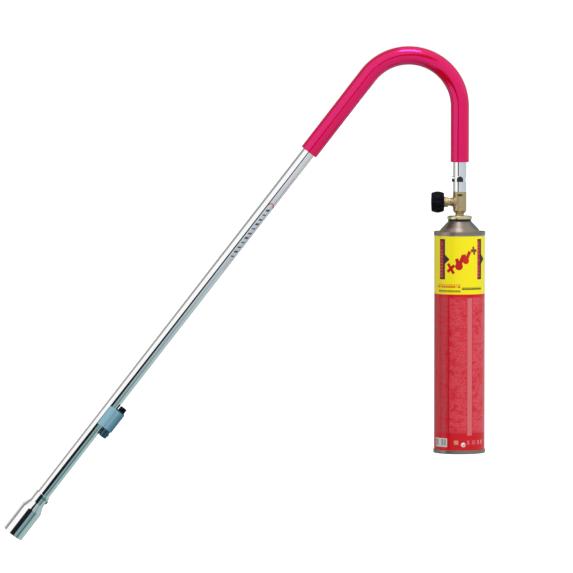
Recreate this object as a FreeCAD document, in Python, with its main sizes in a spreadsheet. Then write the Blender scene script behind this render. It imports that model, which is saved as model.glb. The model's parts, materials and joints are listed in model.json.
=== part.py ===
"""A long gas torch: a bent chrome lance with a burner at its foot and a screw-on gas cartridge.

Frame: the origin is the top of the hook's centreline, where a hand holds it. +Z is up, the object lies
in the XZ plane, the lance runs down towards -X and the cartridge hangs at +X.
Lengths are in millimetres and angles in degrees.
"""

import FreeCAD, Part
import math
import os
from types import SimpleNamespace

import Sketcher

Vector = FreeCAD.Vector
Placement = FreeCAD.Placement
Rotation = FreeCAD.Rotation

# Driving dimensions: alias, value and what it is. "depth" is measured down the upright leg from the
# end of the bend, "run" down the lance from the end of the bend, and "reach" out along the spindle.
SIZES = [
    # bent tube and grip
    ("bend_radius", 65.5, "hook, radius of the centreline"),
    ("lean", 37.8, "lance, degrees from the vertical"),
    ("tube_radius", 8.5, "lance tube, outside"),
    ("tube_wall", 1.0, "lance tube, wall"),
    ("tube_depth", 109.2, "upright leg, down to the valve body"),
    ("tube_run", 692.0, "lance, down to the burner head's shoulder"),
    ("sleeve_wall", 3.25, "grip sleeve, wall outside the tube"),
    ("sleeve_depth", 71.0, "grip sleeve, down the upright leg"),
    ("sleeve_run", 124.4, "grip sleeve, down the lance"),
    ("sleeve_round", 0.8, "grip sleeve, rounding of its ends"),
    ("seat_gap", 0.03, "clearance of pieces that are pressed or slid together"),
    # air inlets in the upright leg
    ("inlet_depth", 96.2, "air inlet, its lower edge"),
    ("inlet_width", 8.0, "air inlet, width"),
    ("inlet_side", 3.5, "air inlet, straight side"),
    ("inlet_crown", 3.5, "air inlet, rise of its round top"),
    ("tongue_margin", 0.35, "air inlet, gap beside the pushed-in tongue"),
    ("tongue_tilt", 24.0, "air inlet tongue, degrees inwards"),
    ("tongue_plate", 0.8, "air inlet tongue, thickness"),
    ("tongue_root", 0.2, "air inlet tongue, length below the inlet's edge"),
    ("tongue_side", 1.9, "air inlet tongue, straight side"),
    ("tongue_crown", 2.6, "air inlet tongue, rise of its round top"),
    ("inlet_count", 4, "air inlets round the tube"),
    # burner head
    ("socket_run", 11.0, "burner head, tube held in the collar"),
    ("collar_wall", 1.35, "burner head, wall of the collar"),
    ("collar_length", 13.5, "burner head, collar"),
    ("cone_length", 10.6, "burner head, flared cone"),
    ("barrel_radius", 14.0, "burner barrel, outside"),
    ("barrel_wall", 1.0, "burner barrel, wall"),
    ("barrel_length", 40.5, "burner barrel"),
    ("mouth_step", 0.2, "burner mouth, widening of the bore"),
    ("mouth_length", 9.0, "burner mouth, length of the wider bore"),
    ("collar_slot_width", 2.4, "collar slot, along the lance"),
    ("collar_slot_length", 7.0, "collar slot, across"),
    ("collar_slot_depth", 1.0, "collar slot, depth"),
    ("collar_slot_at", 2.6, "collar slot, from the collar's edge"),
    ("collar_slot_turn", 28.0, "collar slot, degrees from the front towards the underside"),
    ("head_screw_at", 6.2, "head screw, from the collar's edge"),
    ("head_screw_radius", 1.5, "head screw, shank"),
    ("head_screw_dome", 2.8, "head screw, head radius"),
    ("head_screw_rise", 1.7, "head screw, head height"),
    # flame holder and electrode
    ("holder_length", 8.0, "flame holder"),
    ("holder_bevel", 1.0, "flame holder, bevel of its rim"),
    ("holder_land", 0.6, "flame holder, flat left inside the outer holes"),
    ("holder_back", 1.4, "flame holder, distance past the cone"),
    ("holder_ring", 9.6, "flame holder, circle of the outer holes"),
    ("holder_hole", 1.6, "flame holder, outer hole radius"),
    ("holder_count", 10, "flame holder, outer holes"),
    ("holder_pilot", 1.5, "flame holder, inner hole radius"),
    ("lead_offset", 4.6, "electrode and its lead, off the lance axis towards the underside"),
    ("insulator_radius", 1.9, "electrode insulator, outside"),
    ("insulator_length", 34.0, "electrode insulator"),
    ("insulator_back", 4.0, "electrode insulator, inside the tube's end"),
    ("electrode_radius", 0.6, "electrode rod"),
    ("electrode_root", 1.0, "electrode rod, start inside the insulator"),
    ("electrode_reach", 41.0, "electrode rod, straight part"),
    ("electrode_bend", 4.0, "electrode rod, bend radius"),
    ("electrode_tip", 1.2, "electrode rod, length after the bend"),
    # piezo igniter clipped under the lance
    ("igniter_back", 162.4, "igniter, its button's face above the tube's end"),
    ("button_show", 6.0, "igniter button, length outside the housing"),
    ("button_length", 12.0, "igniter button"),
    ("button_radius", 4.65, "igniter button, outside"),
    ("button_wall", 0.95, "igniter button, wall"),
    ("button_face", 1.5, "igniter button, face thickness"),
    ("button_round", 1.0, "igniter button, rounding of its face"),
    ("housing_radius", 5.5, "igniter housing, outside"),
    ("housing_bore", 4.75, "igniter housing, bore radius"),
    ("housing_length", 40.4, "igniter housing"),
    ("housing_end", 1.5, "igniter housing, closed end and its rounding"),
    ("housing_gap", 0.05, "igniter housing, gap to the lance tube"),
    ("guide_at", 11.4, "hammer guide, from the housing's open end"),
    ("guide_length", 12.0, "hammer guide"),
    ("guide_bore", 2.7, "hammer guide, bore radius"),
    ("hammer_inset", 1.0, "hammer, its back face inside the guide"),
    ("hammer_length", 5.0, "hammer"),
    ("piston_gap", 0.1, "clearance round the button and the hammer"),
    ("anvil_length", 1.9, "anvil"),
    ("crystal_radius", 3.0, "piezo crystal"),
    ("crystal_length", 7.0, "piezo crystal"),
    ("contact_length", 0.9, "contact plate"),
    ("spring_gap", 0.3, "springs, gap at their ends"),
    ("button_spring_radius", 3.2, "button spring, middle of the wire"),
    ("button_spring_wire", 0.25, "button spring, wire radius"),
    ("button_spring_pitch", 1.9, "button spring, pitch"),
    ("hammer_spring_radius", 1.9, "hammer spring, middle of the wire"),
    ("hammer_spring_wire", 0.2, "hammer spring, wire radius"),
    ("hammer_spring_pitch", 1.5, "hammer spring, pitch"),
    ("clip_at", 1.4, "igniter clip, from the housing's open end"),
    ("clip_length", 28.0, "igniter clip"),
    ("clip_wall", 1.3, "igniter clip, wall round the tube"),
    ("clip_ring", 1.1, "igniter clip, wall round the housing"),
    ("clip_gap", 0.05, "igniter clip, clearance on tube and housing"),
    ("clip_open", 1.2, "igniter clip, height of its lips above the tube's axis"),
    ("clip_web", 9.6, "igniter clip, width of the web"),
    ("screw_at", 34.9, "igniter screw, from the housing's open end"),
    ("screw_radius", 0.8, "igniter screw, shank"),
    ("screw_dome", 1.7, "igniter screw, head radius"),
    ("screw_rise", 1.1, "igniter screw, head height"),
    ("screw_shank", 1.6, "igniter screw, shank length"),
    ("lead_at", 33.3, "ignition lead, from the housing's open end"),
    ("lead_radius", 1.2, "ignition lead"),
    ("lead_bend", 5.0, "ignition lead, bend radius"),
    ("port_radius", 2.6, "lead port in the tube"),
    ("port_shift", 0.45, "lead port, further down the lance than the lead's start"),
    ("grommet_bore", 1.75, "lead grommet, bore radius"),
    ("grommet_length", 1.2, "lead grommet"),
    ("grommet_inset", 0.1, "lead grommet, below the tube's surface"),
    # brass valve body
    ("spindle_depth", 122.1, "spindle axis, down the upright leg"),
    ("valve_lip", 0.1, "valve body, step outside the tube"),
    ("foot_wall", 0.95, "valve body, wall of the foot round the socket"),
    ("valve_taper", 2.9, "valve body, height of the taper"),
    ("valve_length", 26.8, "valve body, below the tube"),
    ("spigot_length", 12.0, "valve body, spigot in the tube"),
    ("socket_depth", 8.4, "cartridge socket, depth"),
    ("thread_gap", 0.1, "thread of the cartridge socket, clearance"),
    ("outlet_radius", 1.2, "valve body, gas way to the jet"),
    ("filter_radius", 2.0, "valve body, filter bore"),
    ("filter_length", 2.4, "valve body, filter bore length"),
    ("jet_bore", 2.5, "valve body, jet bore"),
    ("jet_length", 6.0, "jet, length in the valve body"),
    ("jet_collar", 3.6, "jet, collar radius"),
    ("jet_collar_length", 2.6, "jet, collar length"),
    ("jet_nose", 2.6, "jet, nose length"),
    ("jet_tip", 1.0, "jet, tip radius"),
    ("jet_hole", 0.3, "jet, orifice radius"),
    ("boss_radius", 7.3, "spindle boss, radius at the body"),
    ("boss_start", 7.2, "spindle boss, where its neck starts to narrow"),
    ("boss_end", 13.5, "spindle boss, where its neck is narrow"),
    ("boss_curve", 9.5, "spindle boss, radius of the concave neck"),
    ("neck_radius", 4.9, "spindle neck, outside"),
    ("neck_reach", 19.0, "spindle neck, end"),
    ("chamber_start", 2.8, "spindle chamber, valve seat"),
    ("chamber_radius", 3.0, "spindle chamber"),
    ("chamber_end", 16.5, "spindle chamber, end"),
    ("packing_radius", 3.9, "packing chamber"),
    ("seat_radius", 0.9, "valve seat orifice"),
    ("feed_radius", 0.8, "gas way from the cartridge"),
    ("feed_offset", 3.9, "gas way from the cartridge, off the axis"),
    ("slot_height", 2.3, "milled slot, height"),
    ("slot_width", 6.4, "milled slot, width"),
    ("slot_depth", 1.2, "milled slot, depth"),
    ("slot_drop", 2.8, "milled slot, below the body's top"),
    ("seal_radius", 4.75, "inlet seal, inside"),
    ("seal_height", 1.0, "inlet seal"),
    ("pin_radius", 0.9, "inlet pin"),
    ("pin_reach", 3.5, "inlet pin, below the socket's top"),
    ("pin_root", 1.8, "inlet pin, held in the body"),
    # gland, spindle and knob
    ("nut_start", 15.1, "gland nut, inner face"),
    ("nut_end", 19.9, "gland nut, outer face"),
    ("nut_flats", 6, "gland nut, flats"),
    ("nut_radius", 6.9, "gland nut, over its corners"),
    ("nut_flat", 6.35, "gland nut, flats from the axis"),
    ("nut_face", 0.75, "gland nut, end wall"),
    ("thread_slack", 0.05, "spindle and gland, running clearance"),
    ("spindle_radius", 2.2, "spindle"),
    ("needle_start", 2.0, "spindle needle, tip"),
    ("needle_tip", 0.3, "spindle needle, tip radius"),
    ("needle_end", 4.9, "spindle needle, end of the cone"),
    ("screw_start", 6.0, "spindle thread, start"),
    ("screw_end", 11.0, "spindle thread, end"),
    ("screw_slack", 0.1, "spindle thread, clearance"),
    ("groove_start", 12.1, "spindle groove, start"),
    ("groove_end", 13.6, "spindle groove, end"),
    ("groove_radius", 1.8, "spindle groove"),
    ("square_start", 22.2, "spindle square, start"),
    ("square_end", 31.0, "spindle square, end"),
    ("square_side", 3.1, "spindle square, side"),
    ("tap_radius", 1.25, "spindle, tapped hole"),
    ("tap_start", 26.0, "spindle, tapped hole's floor"),
    ("knob_start", 20.1, "knob, inner face"),
    ("knob_end", 36.3, "knob, outer face"),
    ("knob_radius", 11.9, "knob, radius of its rims"),
    ("knob_crown", 1.85, "knob, crown above its rims"),
    ("knob_chamfer", 0.6, "knob, chamfer of its rims"),
    ("flute_radius", 2.9, "knob flute"),
    ("flute_depth", 1.5, "knob flute, depth at the crown"),
    ("flute_count", 9, "knob flutes"),
    ("cap_radius", 7.2, "knob, cap recess"),
    ("cap_depth", 1.2, "knob, cap recess"),
    ("cap_rise", 0.5, "knob cap, dome above the knob's face"),
    ("knob_seat", 33.1, "knob, seat of its screw"),
    ("knob_screw_head", 3.0, "knob screw, head radius"),
    ("knob_screw_slack", 0.2, "knob screw, clearance round its head"),
    ("knob_screw_shank", 1.2, "knob screw, shank"),
    ("knob_screw_length", 6.6, "knob screw, shank length"),
    # gas cartridge
    ("can_radius", 32.5, "cartridge body, outside"),
    ("can_wall", 0.5, "cartridge sheet"),
    ("seam_gap", 0.02, "cartridge seams, clearance"),
    ("can_start", 2.2, "cartridge body, lower edge"),
    ("can_end", 283.2, "cartridge body, upper edge"),
    ("base_seam_radius", 33.4, "base seam, outside"),
    ("base_seam_height", 4.8, "base seam"),
    ("base_land", 31.4, "base seam, inner edge of its land"),
    ("base_panel", 30.4, "base panel, radius"),
    ("base_panel_height", 2.0, "base panel, height of its edge"),
    ("base_rise", 7.5, "base panel, rise to its middle"),
    ("top_seam_radius", 33.0, "top seam, outside"),
    ("top_seam_skirt", 3.4, "top seam, lower edge below the body's upper edge"),
    ("top_seam_rise", 1.2, "top seam, upper edge above the body's"),
    ("seam_bevel", 0.45, "seams, bevel of their edges"),
    ("dome_edge", 28.0, "dome, radius at its foot"),
    ("dome_sink", 1.3, "dome, foot below the body's upper edge"),
    ("dome_neck", 14.8, "dome, neck outside"),
    ("dome_height", 15.1, "dome, from its foot to its neck"),
    ("bead_inside", 12.9, "dome bead, inside"),
    ("bead_height", 5.0, "dome, neck with its bead"),
    ("cup_radius", 15.85, "valve cup, outside"),
    ("cup_inside", 11.7, "valve cup, inside of its curl"),
    ("cup_skirt", 2.1, "valve cup, skirt below the bead's top"),
    ("cup_lip", 14.9, "valve cup, crimped lip inside"),
    ("cup_sink", 1.6, "valve cup, floor below the bead's top"),
    ("neck_hole", 5.1, "valve cup, hole for the threaded neck"),
    ("gasket_gap", 0.1, "cup gasket, clearance"),
    ("gasket_inside", 13.0, "cup gasket, inside"),
    ("gasket_outside", 14.6, "cup gasket, outside"),
    ("gasket_height", 1.0, "cup gasket"),
    ("stub_radius", 5.55, "threaded neck, outside of the thread"),
    ("stub_length", 14.6, "threaded neck, above the cup's floor"),
    ("stub_gap", 0.2, "threaded neck, gap to the inlet seal"),
    ("stub_bore", 1.9, "threaded neck, upper bore"),
    ("stub_chamfer", 0.4, "threaded neck, chamfer"),
    ("thread_pitch", 0.907, "threaded neck, pitch"),
    ("thread_depth", 0.45, "threaded neck, thread depth"),
    ("thread_run", 7.6, "threaded neck, first groove below its top"),
    ("thread_count", 8, "threaded neck, thread grooves"),
    ("flange_radius", 7.5, "threaded neck, flange"),
    ("flange_height", 1.4, "threaded neck, flange"),
    ("flange_slope", 0.9, "threaded neck, slope above the flange"),
    ("crimp_radius", 6.2, "threaded neck, crimp under the cup"),
    ("crimp_height", 1.8, "threaded neck, crimp"),
    ("housing_inside", 3.4, "threaded neck, bore for the valve"),
    ("gasket_sink", 8.15, "threaded neck, seat of the stem gasket below its top"),
    ("stem_gasket_height", 1.2, "stem gasket"),
    ("stem_gasket_bore", 1.4, "stem gasket, bore"),
    ("stem_radius", 1.25, "valve stem"),
    ("stem_disc", 2.8, "valve stem, disc radius"),
    ("stem_disc_lift", 2.2, "valve stem, underside of its disc above the cup's floor"),
    ("stem_disc_height", 1.4, "valve stem, disc"),
    ("stem_spring_radius", 2.3, "stem spring, middle of the wire"),
    ("stem_spring_wire", 0.3, "stem spring, wire radius"),
    ("stem_spring_pitch", 1.7, "stem spring, pitch"),
    ("stem_well_radius", 4.8, "valve well, outside"),
    ("stem_well_wall", 0.3, "valve well, wall of its collar"),
    ("stem_well_drop", 12.4, "valve well, underside below the cup's floor"),
    ("stem_well_floor", 1.2, "valve well, floor"),
    ("stem_well_hole", 0.8, "valve well, gas hole"),
]

doc = FreeCAD.newDocument("gas_lance_torch")


class Size:
    """A number together with the sheet expression that gives it, so that geometry stays bound."""

    def __init__(self, number, text):
        self.number = number
        self.text = text

    def __add__(self, other):
        other = as_size(other)
        return Size(self.number + other.number, f"({self.text} + {other.text})")

    def __sub__(self, other):
        other = as_size(other)
        return Size(self.number - other.number, f"({self.text} - {other.text})")

    def __rsub__(self, other):
        return as_size(other) - self

    def __mul__(self, other):
        other = as_size(other)
        return Size(self.number * other.number, f"({self.text} * {other.text})")

    def __truediv__(self, other):
        other = as_size(other)
        return Size(self.number / other.number, f"({self.text} / {other.text})")

    def __neg__(self):
        return Size(-self.number, f"(-1 * {self.text})")

    __radd__ = __add__
    __rmul__ = __mul__


def as_size(value):
    """A plain number as a Size."""
    return value if isinstance(value, Size) else Size(float(value), repr(float(value)))


def sine(angle):
    """The sine of an angle in degrees."""
    return Size(math.sin(math.radians(angle.number)), f"sin({angle.text})")


def cosine(angle):
    """The cosine of an angle in degrees."""
    return Size(math.cos(math.radians(angle.number)), f"cos({angle.text})")


def bow(half_width, rise):
    """The radius of an arc that rises by this much over this half width."""
    return (half_width * half_width + rise * rise) / (2 * rise)


def make_sheet():
    """Writes the driving dimensions to the sheet and returns them by name."""
    sheet = doc.addObject("Spreadsheet::Sheet", "dims")
    named = {}
    for row, (alias, value, note) in enumerate(SIZES, start=1):
        sheet.set(f"A{row}", note)
        sheet.set(f"B{row}", str(value))
        sheet.setAlias(f"B{row}", alias)
        named[alias] = Size(float(value), f"dims.{alias}")
    doc.recompute()
    return SimpleNamespace(**named)


mm = make_sheet()

# heights above the cartridge's base, from the body's upper edge to the top of the threaded neck
dome_foot = mm.can_end - mm.dome_sink
dome_top = dome_foot + mm.dome_height
bead_top = dome_top + mm.bead_height
cup_floor = bead_top - mm.cup_sink
stub_end = cup_floor + mm.stub_length

# heights above the spindle's axis, and how far the cartridge's base lies down the upright leg
valve_top = mm.spindle_depth - mm.tube_depth
valve_bottom = valve_top - mm.valve_length
socket_top = valve_bottom + mm.socket_depth
base_depth = mm.spindle_depth - socket_top + mm.seal_height + mm.stub_gap + stub_end


# ---------------------------------------------------------------- places

ALONG_X = Rotation(Vector(0, 1, 0), 90)
AGAINST_X = Rotation(Vector(0, 1, 0), -90)
HALF_TURN = Rotation(Vector(0, 0, 1), 180)


def on_leg(depth):
    """A place on the upright leg's axis, this far below the bend, with its Z up."""
    return Placement(Vector(mm.bend_radius.number, 0, -(mm.bend_radius + depth).number), Rotation())


def on_valve():
    """Where leg and spindle axes cross, with its X out along the spindle."""
    return on_leg(mm.spindle_depth) * Placement(Vector(), HALF_TURN)


def on_spindle():
    """The same crossing, with its Z out along the spindle."""
    return on_leg(mm.spindle_depth) * Placement(Vector(), AGAINST_X)


def on_cartridge():
    """The middle of the cartridge's base, with its Z up."""
    return on_leg(base_depth)


def on_lance(run, under=0):
    """A place this far down the lance and this far off its axis towards the underside.

    Its Z points down the lance and its X to the underside.
    """
    radius = mm.bend_radius.number
    lean = math.radians(mm.lean.number)
    down = Vector(-math.sin(lean), 0, -math.cos(lean))
    below = Vector(math.cos(lean), 0, -math.sin(lean))
    bend_end = Vector(-radius * math.cos(lean), 0, radius * (math.sin(lean) - 1))
    turn = Rotation(below, Vector(0, -1, 0), down, "ZXY")
    return Placement(bend_end + down * as_size(run).number + below * as_size(under).number, turn)


# ---------------------------------------------------------------- modelling helpers


def new_body(label, place):
    """A body with this label and place."""
    body = doc.addObject("PartDesign::Body", label)
    body.Label = label
    body.Placement = place
    return body


def sketch_on(body, role, name, offset=None):
    """A sketch on one of the body's own origin planes."""
    sketch = body.newObject("Sketcher::SketchObject", f"{body.Label}_{name}")
    plane = next(item for item in body.Origin.OriginFeatures if item.Role == role)
    sketch.AttachmentSupport = (plane, [""])
    sketch.MapMode = "FlatFace"
    if offset:
        sketch.AttachmentOffset = offset
    return sketch


def bind(item, prop, size):
    """Sets a property from the sheet."""
    size = as_size(size)
    setattr(item, prop, size.number)
    item.setExpression(prop, size.text)


def edge_between(start, end, radius):
    """A line, or an arc of this radius: its centre is to the left of the way, or right if negative."""
    if radius is None:
        return Part.LineSegment(start, end), False
    chord = end - start
    height = math.sqrt(max(radius * radius - chord.Length * chord.Length / 4, 0))
    side = Vector(-chord.y, chord.x, 0).normalize() * math.copysign(height, radius)
    centre = (start + end) * 0.5 + side
    angles = [math.atan2(spot.y - centre.y, spot.x - centre.x) for spot in (start, end)]
    if radius < 0:
        angles.reverse()
    circle = Part.Circle(centre, Vector(0, 0, 1), abs(radius))
    return Part.ArcOfCircle(circle, *angles), radius < 0


def draw(sketch, corners, closed=True):
    """Draws an outline whose corners are bound to the sheet.

    A corner is (x, y), or (x, y, radius) where the edge that leaves it is an arc.
    """
    spots = [Vector(as_size(c[0]).number, as_size(c[1]).number, 0) for c in corners]
    count = len(corners) if closed else len(corners) - 1
    ends = []
    rules = []
    bound = []
    for index in range(count):
        radius = as_size(corners[index][2]) if len(corners[index]) > 2 else None
        after = spots[(index + 1) % len(spots)]
        edge, swapped = edge_between(spots[index], after, radius.number if radius else None)
        sketch.addGeometry(edge)
        ends.append((2, 1) if swapped else (1, 2))
        if radius:
            rules.append(Sketcher.Constraint("Radius", index, abs(radius.number)))
            bound.append(radius if radius.number > 0 else -radius)
    for index in range(count if closed else count - 1):
        after = (index + 1) % count
        rules.append(Sketcher.Constraint("Coincident", index, ends[index][1], after, ends[after][0]))
        bound.append(None)
    for index, corner in enumerate(corners):
        edge, end = (index, ends[index][0]) if index < count else (count - 1, ends[-1][1])
        for kind, axis, size in (("DistanceX", -2, corner[0]), ("DistanceY", -1, corner[1])):
            size = as_size(size)
            if size.number == 0:
                rules.append(Sketcher.Constraint("PointOnObject", edge, end, axis))
                bound.append(None)
            else:
                rules.append(Sketcher.Constraint(kind, -1, 1, edge, end, size.number))
                bound.append(size)
    sketch.addConstraint(rules)
    for index, size in enumerate(bound):
        if size:
            sketch.setExpression(f"Constraints[{index}]", size.text)


def circle_on(sketch, x, y, radius):
    """Draws a circle bound to the sheet."""
    x, y, radius = as_size(x), as_size(y), as_size(radius)
    index = sketch.addGeometry(
        Part.Circle(Vector(x.number, y.number, 0), Vector(0, 0, 1), radius.number)
    )
    sizes = [(sketch.addConstraint(Sketcher.Constraint("Radius", index, radius.number)), radius)]
    for kind, axis, size in (("DistanceX", -2, x), ("DistanceY", -1, y)):
        if size.number == 0:
            sketch.addConstraint(Sketcher.Constraint("PointOnObject", index, 3, axis))
        else:
            rule = Sketcher.Constraint(kind, -1, 1, index, 3, size.number)
            sizes.append((sketch.addConstraint(rule), size))
    for rule, size in sizes:
        sketch.setExpression(f"Constraints[{rule}]", size.text)


def turned(label, place, corners):
    """A piece turned about its Z from corners given as (radius, height)."""
    body = new_body(label, place)
    section = sketch_on(body, "XZ_Plane", "section")
    draw(section, corners)
    solid = body.newObject("PartDesign::Revolution", f"{label}_turned")
    solid.Profile = section
    solid.ReferenceAxis = (section, ["V_Axis"])
    solid.Angle = 360
    return body


def ring(label, place, inside, outside, start, end):
    """A plain ring or tube from one height to another."""
    corners = [(inside, start), (outside, start), (outside, end), (inside, end)]
    return turned(label, place, corners)


def piped(label, place, corners, radius, bore=None):
    """A rod or tube along a path that starts up the place's Z and stays in its XZ plane."""
    body = new_body(label, place)
    path = sketch_on(body, "XZ_Plane", "path")
    draw(path, corners, closed=False)
    section = sketch_on(body, "XY_Plane", "section")
    circle_on(section, 0, 0, radius)
    if bore:
        circle_on(section, 0, 0, bore)
    pipe = body.newObject("PartDesign::AdditivePipe", f"{label}_pipe")
    pipe.Profile = section
    pipe.Spine = path
    return body


def coiled(label, place, radius, wire, pitch, start, end):
    """A round-wire compression spring between two heights."""
    body = new_body(label, place)
    section = sketch_on(body, "XZ_Plane", "section")
    circle_on(section, radius, start + wire, wire)
    coil = body.newObject("PartDesign::AdditiveHelix", f"{label}_coil")
    coil.Profile = section
    coil.ReferenceAxis = (section, ["V_Axis"])
    coil.Mode = "pitch-height-angle"
    bind(coil, "Pitch", pitch)
    bind(coil, "Height", end - start - 2 * wire)
    return body


def block(body, name, size, place, cut=True):
    """Cuts, or adds, a box of (x, y, z) size with its corner at a place in the body."""
    kind = "Subtractive" if cut else "Additive"
    item = body.newObject(f"PartDesign::{kind}Box", f"{body.Label}_{name}")
    for prop, length in zip(("Length", "Width", "Height"), size):
        bind(item, prop, length)
    item.Placement = place
    return item


def drum(body, name, radius, height, place, cut=True):
    """Cuts, or adds, a cylinder that rises from a place in the body."""
    kind = "Subtractive" if cut else "Additive"
    item = body.newObject(f"PartDesign::{kind}Cylinder", f"{body.Label}_{name}")
    bind(item, "Radius", radius)
    bind(item, "Height", height)
    item.Placement = place
    return item


def cut_through(body, sketch, name, length=None):
    """Pockets a sketch, one way for a length or through everything, and makes sure that it cuts."""
    doc.recompute()
    before = body.Shape.Volume
    hole = body.newObject("PartDesign::Pocket", f"{body.Label}_{name}")
    hole.Profile = sketch
    if length is None:
        hole.Type = "ThroughAll"
        hole.Midplane = True
    else:
        bind(hole, "Length", length)
    doc.recompute()
    if body.Shape.Volume > before - 1e-6:
        hole.Reversed = True
        doc.recompute()
    if body.Shape.Volume > before - 1e-6:
        raise RuntimeError(f"{name} cuts nothing from {body.Label}")
    return hole


def repeated(body, features, count):
    """Repeats features round the body's Z."""
    pattern = body.newObject("PartDesign::PolarPattern", f"{body.Label}_pattern")
    pattern.Originals = features
    axis = next(item for item in body.Origin.OriginFeatures if item.Role == "Z_Axis")
    pattern.Axis = (axis, [""])
    pattern.Angle = 360
    pattern.setExpression("Occurrences", as_size(count).text)
    body.Tip = pattern
    return pattern


def rounded(body, name, radius, chosen):
    """Fillets the edges that a test chooses."""
    doc.recompute()
    base = body.Tip
    edges = [f"Edge{i}" for i, edge in enumerate(base.Shape.Edges, start=1) if chosen(edge)]
    fillet = body.newObject("PartDesign::Fillet", f"{body.Label}_{name}")
    fillet.Base = (base, edges)
    bind(fillet, "Radius", radius)
    return fillet


def inside(body, place):
    """A place in the object's frame as the body's own."""
    return body.Placement.inverse() * place


# ---------------------------------------------------------------- lance and grip

tube_bore = mm.tube_radius - mm.tube_wall
sleeve_radius = mm.tube_radius + mm.sleeve_wall


def hook_path(depth, run):
    """Up the leg, round the bend and down the lance, from a place this far below the bend."""
    bend_x = -mm.bend_radius * (1 + cosine(mm.lean))
    bend_y = depth + mm.bend_radius * sine(mm.lean)
    return [
        (0, 0),
        (0, depth, mm.bend_radius),
        (bend_x, bend_y),
        (bend_x - run * sine(mm.lean), bend_y - run * cosine(mm.lean)),
    ]


def arched(half_width, side, crown, base):
    """A window with straight sides and a round top."""
    return [
        (-half_width, base),
        (half_width, base),
        (half_width, base + side, bow(half_width, crown)),
        (-half_width, base + side),
    ]


def make_lance_tube():
    """The bent tube, with lanced air inlets in its leg and a port for the ignition lead."""
    body = piped(
        "lance_tube",
        on_leg(mm.tube_depth),
        hook_path(mm.tube_depth, mm.tube_run),
        mm.tube_radius,
        tube_bore,
    )
    base = mm.tube_depth - mm.inlet_depth
    half = mm.inlet_width / 2
    window = sketch_on(body, "XZ_Plane", "window")
    draw(window, arched(half, mm.inlet_side, mm.inlet_crown, base))
    opening = cut_through(body, window, "inlet", 2 * mm.tube_radius)
    # the tongue stands on the window's lower edge, in the middle of the wall, and leans inwards
    depth = mm.tube_radius - (mm.tube_wall + mm.tongue_plate) / 2
    hinge = Vector(0, (base - mm.tongue_root).number, depth.number)
    lean_in = Placement(hinge, Rotation(Vector(1, 0, 0), -mm.tongue_tilt.number))
    tongue = sketch_on(body, "XZ_Plane", "tongue", lean_in)
    draw(tongue, arched(half - mm.tongue_margin, mm.tongue_side, mm.tongue_crown, 0))
    plate = body.newObject("PartDesign::Pad", "lance_tube_tongue")
    plate.Profile = tongue
    bind(plate, "Length", mm.tongue_plate)
    repeated(body, [opening, plate], mm.inlet_count)
    port = on_lance(lead_run + mm.port_shift) * Placement(Vector(tube_bore.number / 2, 0, 0), ALONG_X)
    drum(body, "port", mm.port_radius, mm.tube_radius, inside(body, port))
    return body


def make_grip_sleeve():
    """The soft sleeve over the hook."""
    body = piped(
        "grip_sleeve",
        on_leg(mm.sleeve_depth),
        hook_path(mm.sleeve_depth, mm.sleeve_run),
        sleeve_radius,
        mm.tube_radius + mm.seat_gap,
    )
    radius = sleeve_radius.number
    far = inside(body, on_lance(mm.sleeve_run)).Base

    def outer_end(edge):
        round_edge = isinstance(edge.Curve, Part.Circle) and abs(edge.Curve.Radius - radius) < 1e-3
        return round_edge and min(edge.Curve.Center.Length, (edge.Curve.Center - far).Length) < 1e-3

    rounded(body, "rounding", mm.sleeve_round, outer_end)
    return body


# ---------------------------------------------------------------- burner

head_run = mm.tube_run - mm.socket_run
cone_end = mm.collar_length + mm.cone_length
head_length = cone_end + mm.barrel_length
barrel_bore = mm.barrel_radius - mm.barrel_wall
collar_radius = mm.tube_radius + mm.collar_wall
holder_run = head_run + cone_end + mm.holder_back
insulator_run = mm.tube_run - mm.insulator_back


def make_burner_head():
    """Collar, flared cone and barrel in one spun piece, with a slot and a screw hole in its collar."""
    socket = mm.tube_radius + mm.seat_gap
    mouth = barrel_bore + mm.mouth_step
    body = turned(
        "burner_head",
        on_lance(head_run),
        [
            (socket, 0),
            (collar_radius, 0),
            (collar_radius, mm.collar_length),
            (mm.barrel_radius, cone_end),
            (mm.barrel_radius, head_length),
            (mouth, head_length),
            (mouth, head_length - mm.mouth_length),
            (barrel_bore, head_length - mm.mouth_length),
            (barrel_bore, cone_end + mm.barrel_wall / 2),
            (tube_bore, mm.socket_run + mm.barrel_wall),
            (tube_bore, mm.socket_run + mm.seat_gap),
            (socket, mm.socket_run + mm.seat_gap),
        ],
    )
    # the slot is centred on local +X, which points to the underside, then turned to the front
    turn = Placement(Vector(), Rotation(Vector(0, 0, 1), 90 - mm.collar_slot_turn.number))
    corner = Vector(
        (collar_radius - mm.collar_slot_depth).number,
        -mm.collar_slot_length.number / 2,
        mm.collar_slot_at.number,
    )
    size = (2 * mm.collar_slot_depth, mm.collar_slot_length, mm.collar_slot_width)
    block(body, "slot", size, turn * Placement(corner, Rotation()))
    hole = Placement(Vector(tube_bore.number, 0, mm.head_screw_at.number), ALONG_X)
    drum(body, "screw_hole", mm.head_screw_radius + mm.seat_gap, mm.tube_radius, hole)
    return body


# a round screw head's straight edge, its slot's width and its slot's floor, as shares of its height
HEAD_EDGE = 0.3
SLOT_WIDTH = 0.35
SLOT_FLOOR = 0.6


def domed_screw(label, place, shank, shank_length, dome, rise):
    """A round-headed slotted screw with its head's seat at height 0."""
    body = turned(
        label,
        place,
        [
            (0, -shank_length),
            (shank, -shank_length),
            (shank, 0),
            (dome, 0),
            (dome, rise * HEAD_EDGE, bow(dome, rise * (1 - HEAD_EDGE))),
            (0, rise),
        ],
    )
    width = rise * SLOT_WIDTH
    corner = Vector(-width.number / 2, -dome.number, rise.number * SLOT_FLOOR)
    block(body, "slot", (width, 2 * dome, rise), Placement(corner, Rotation()))
    return body


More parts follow.
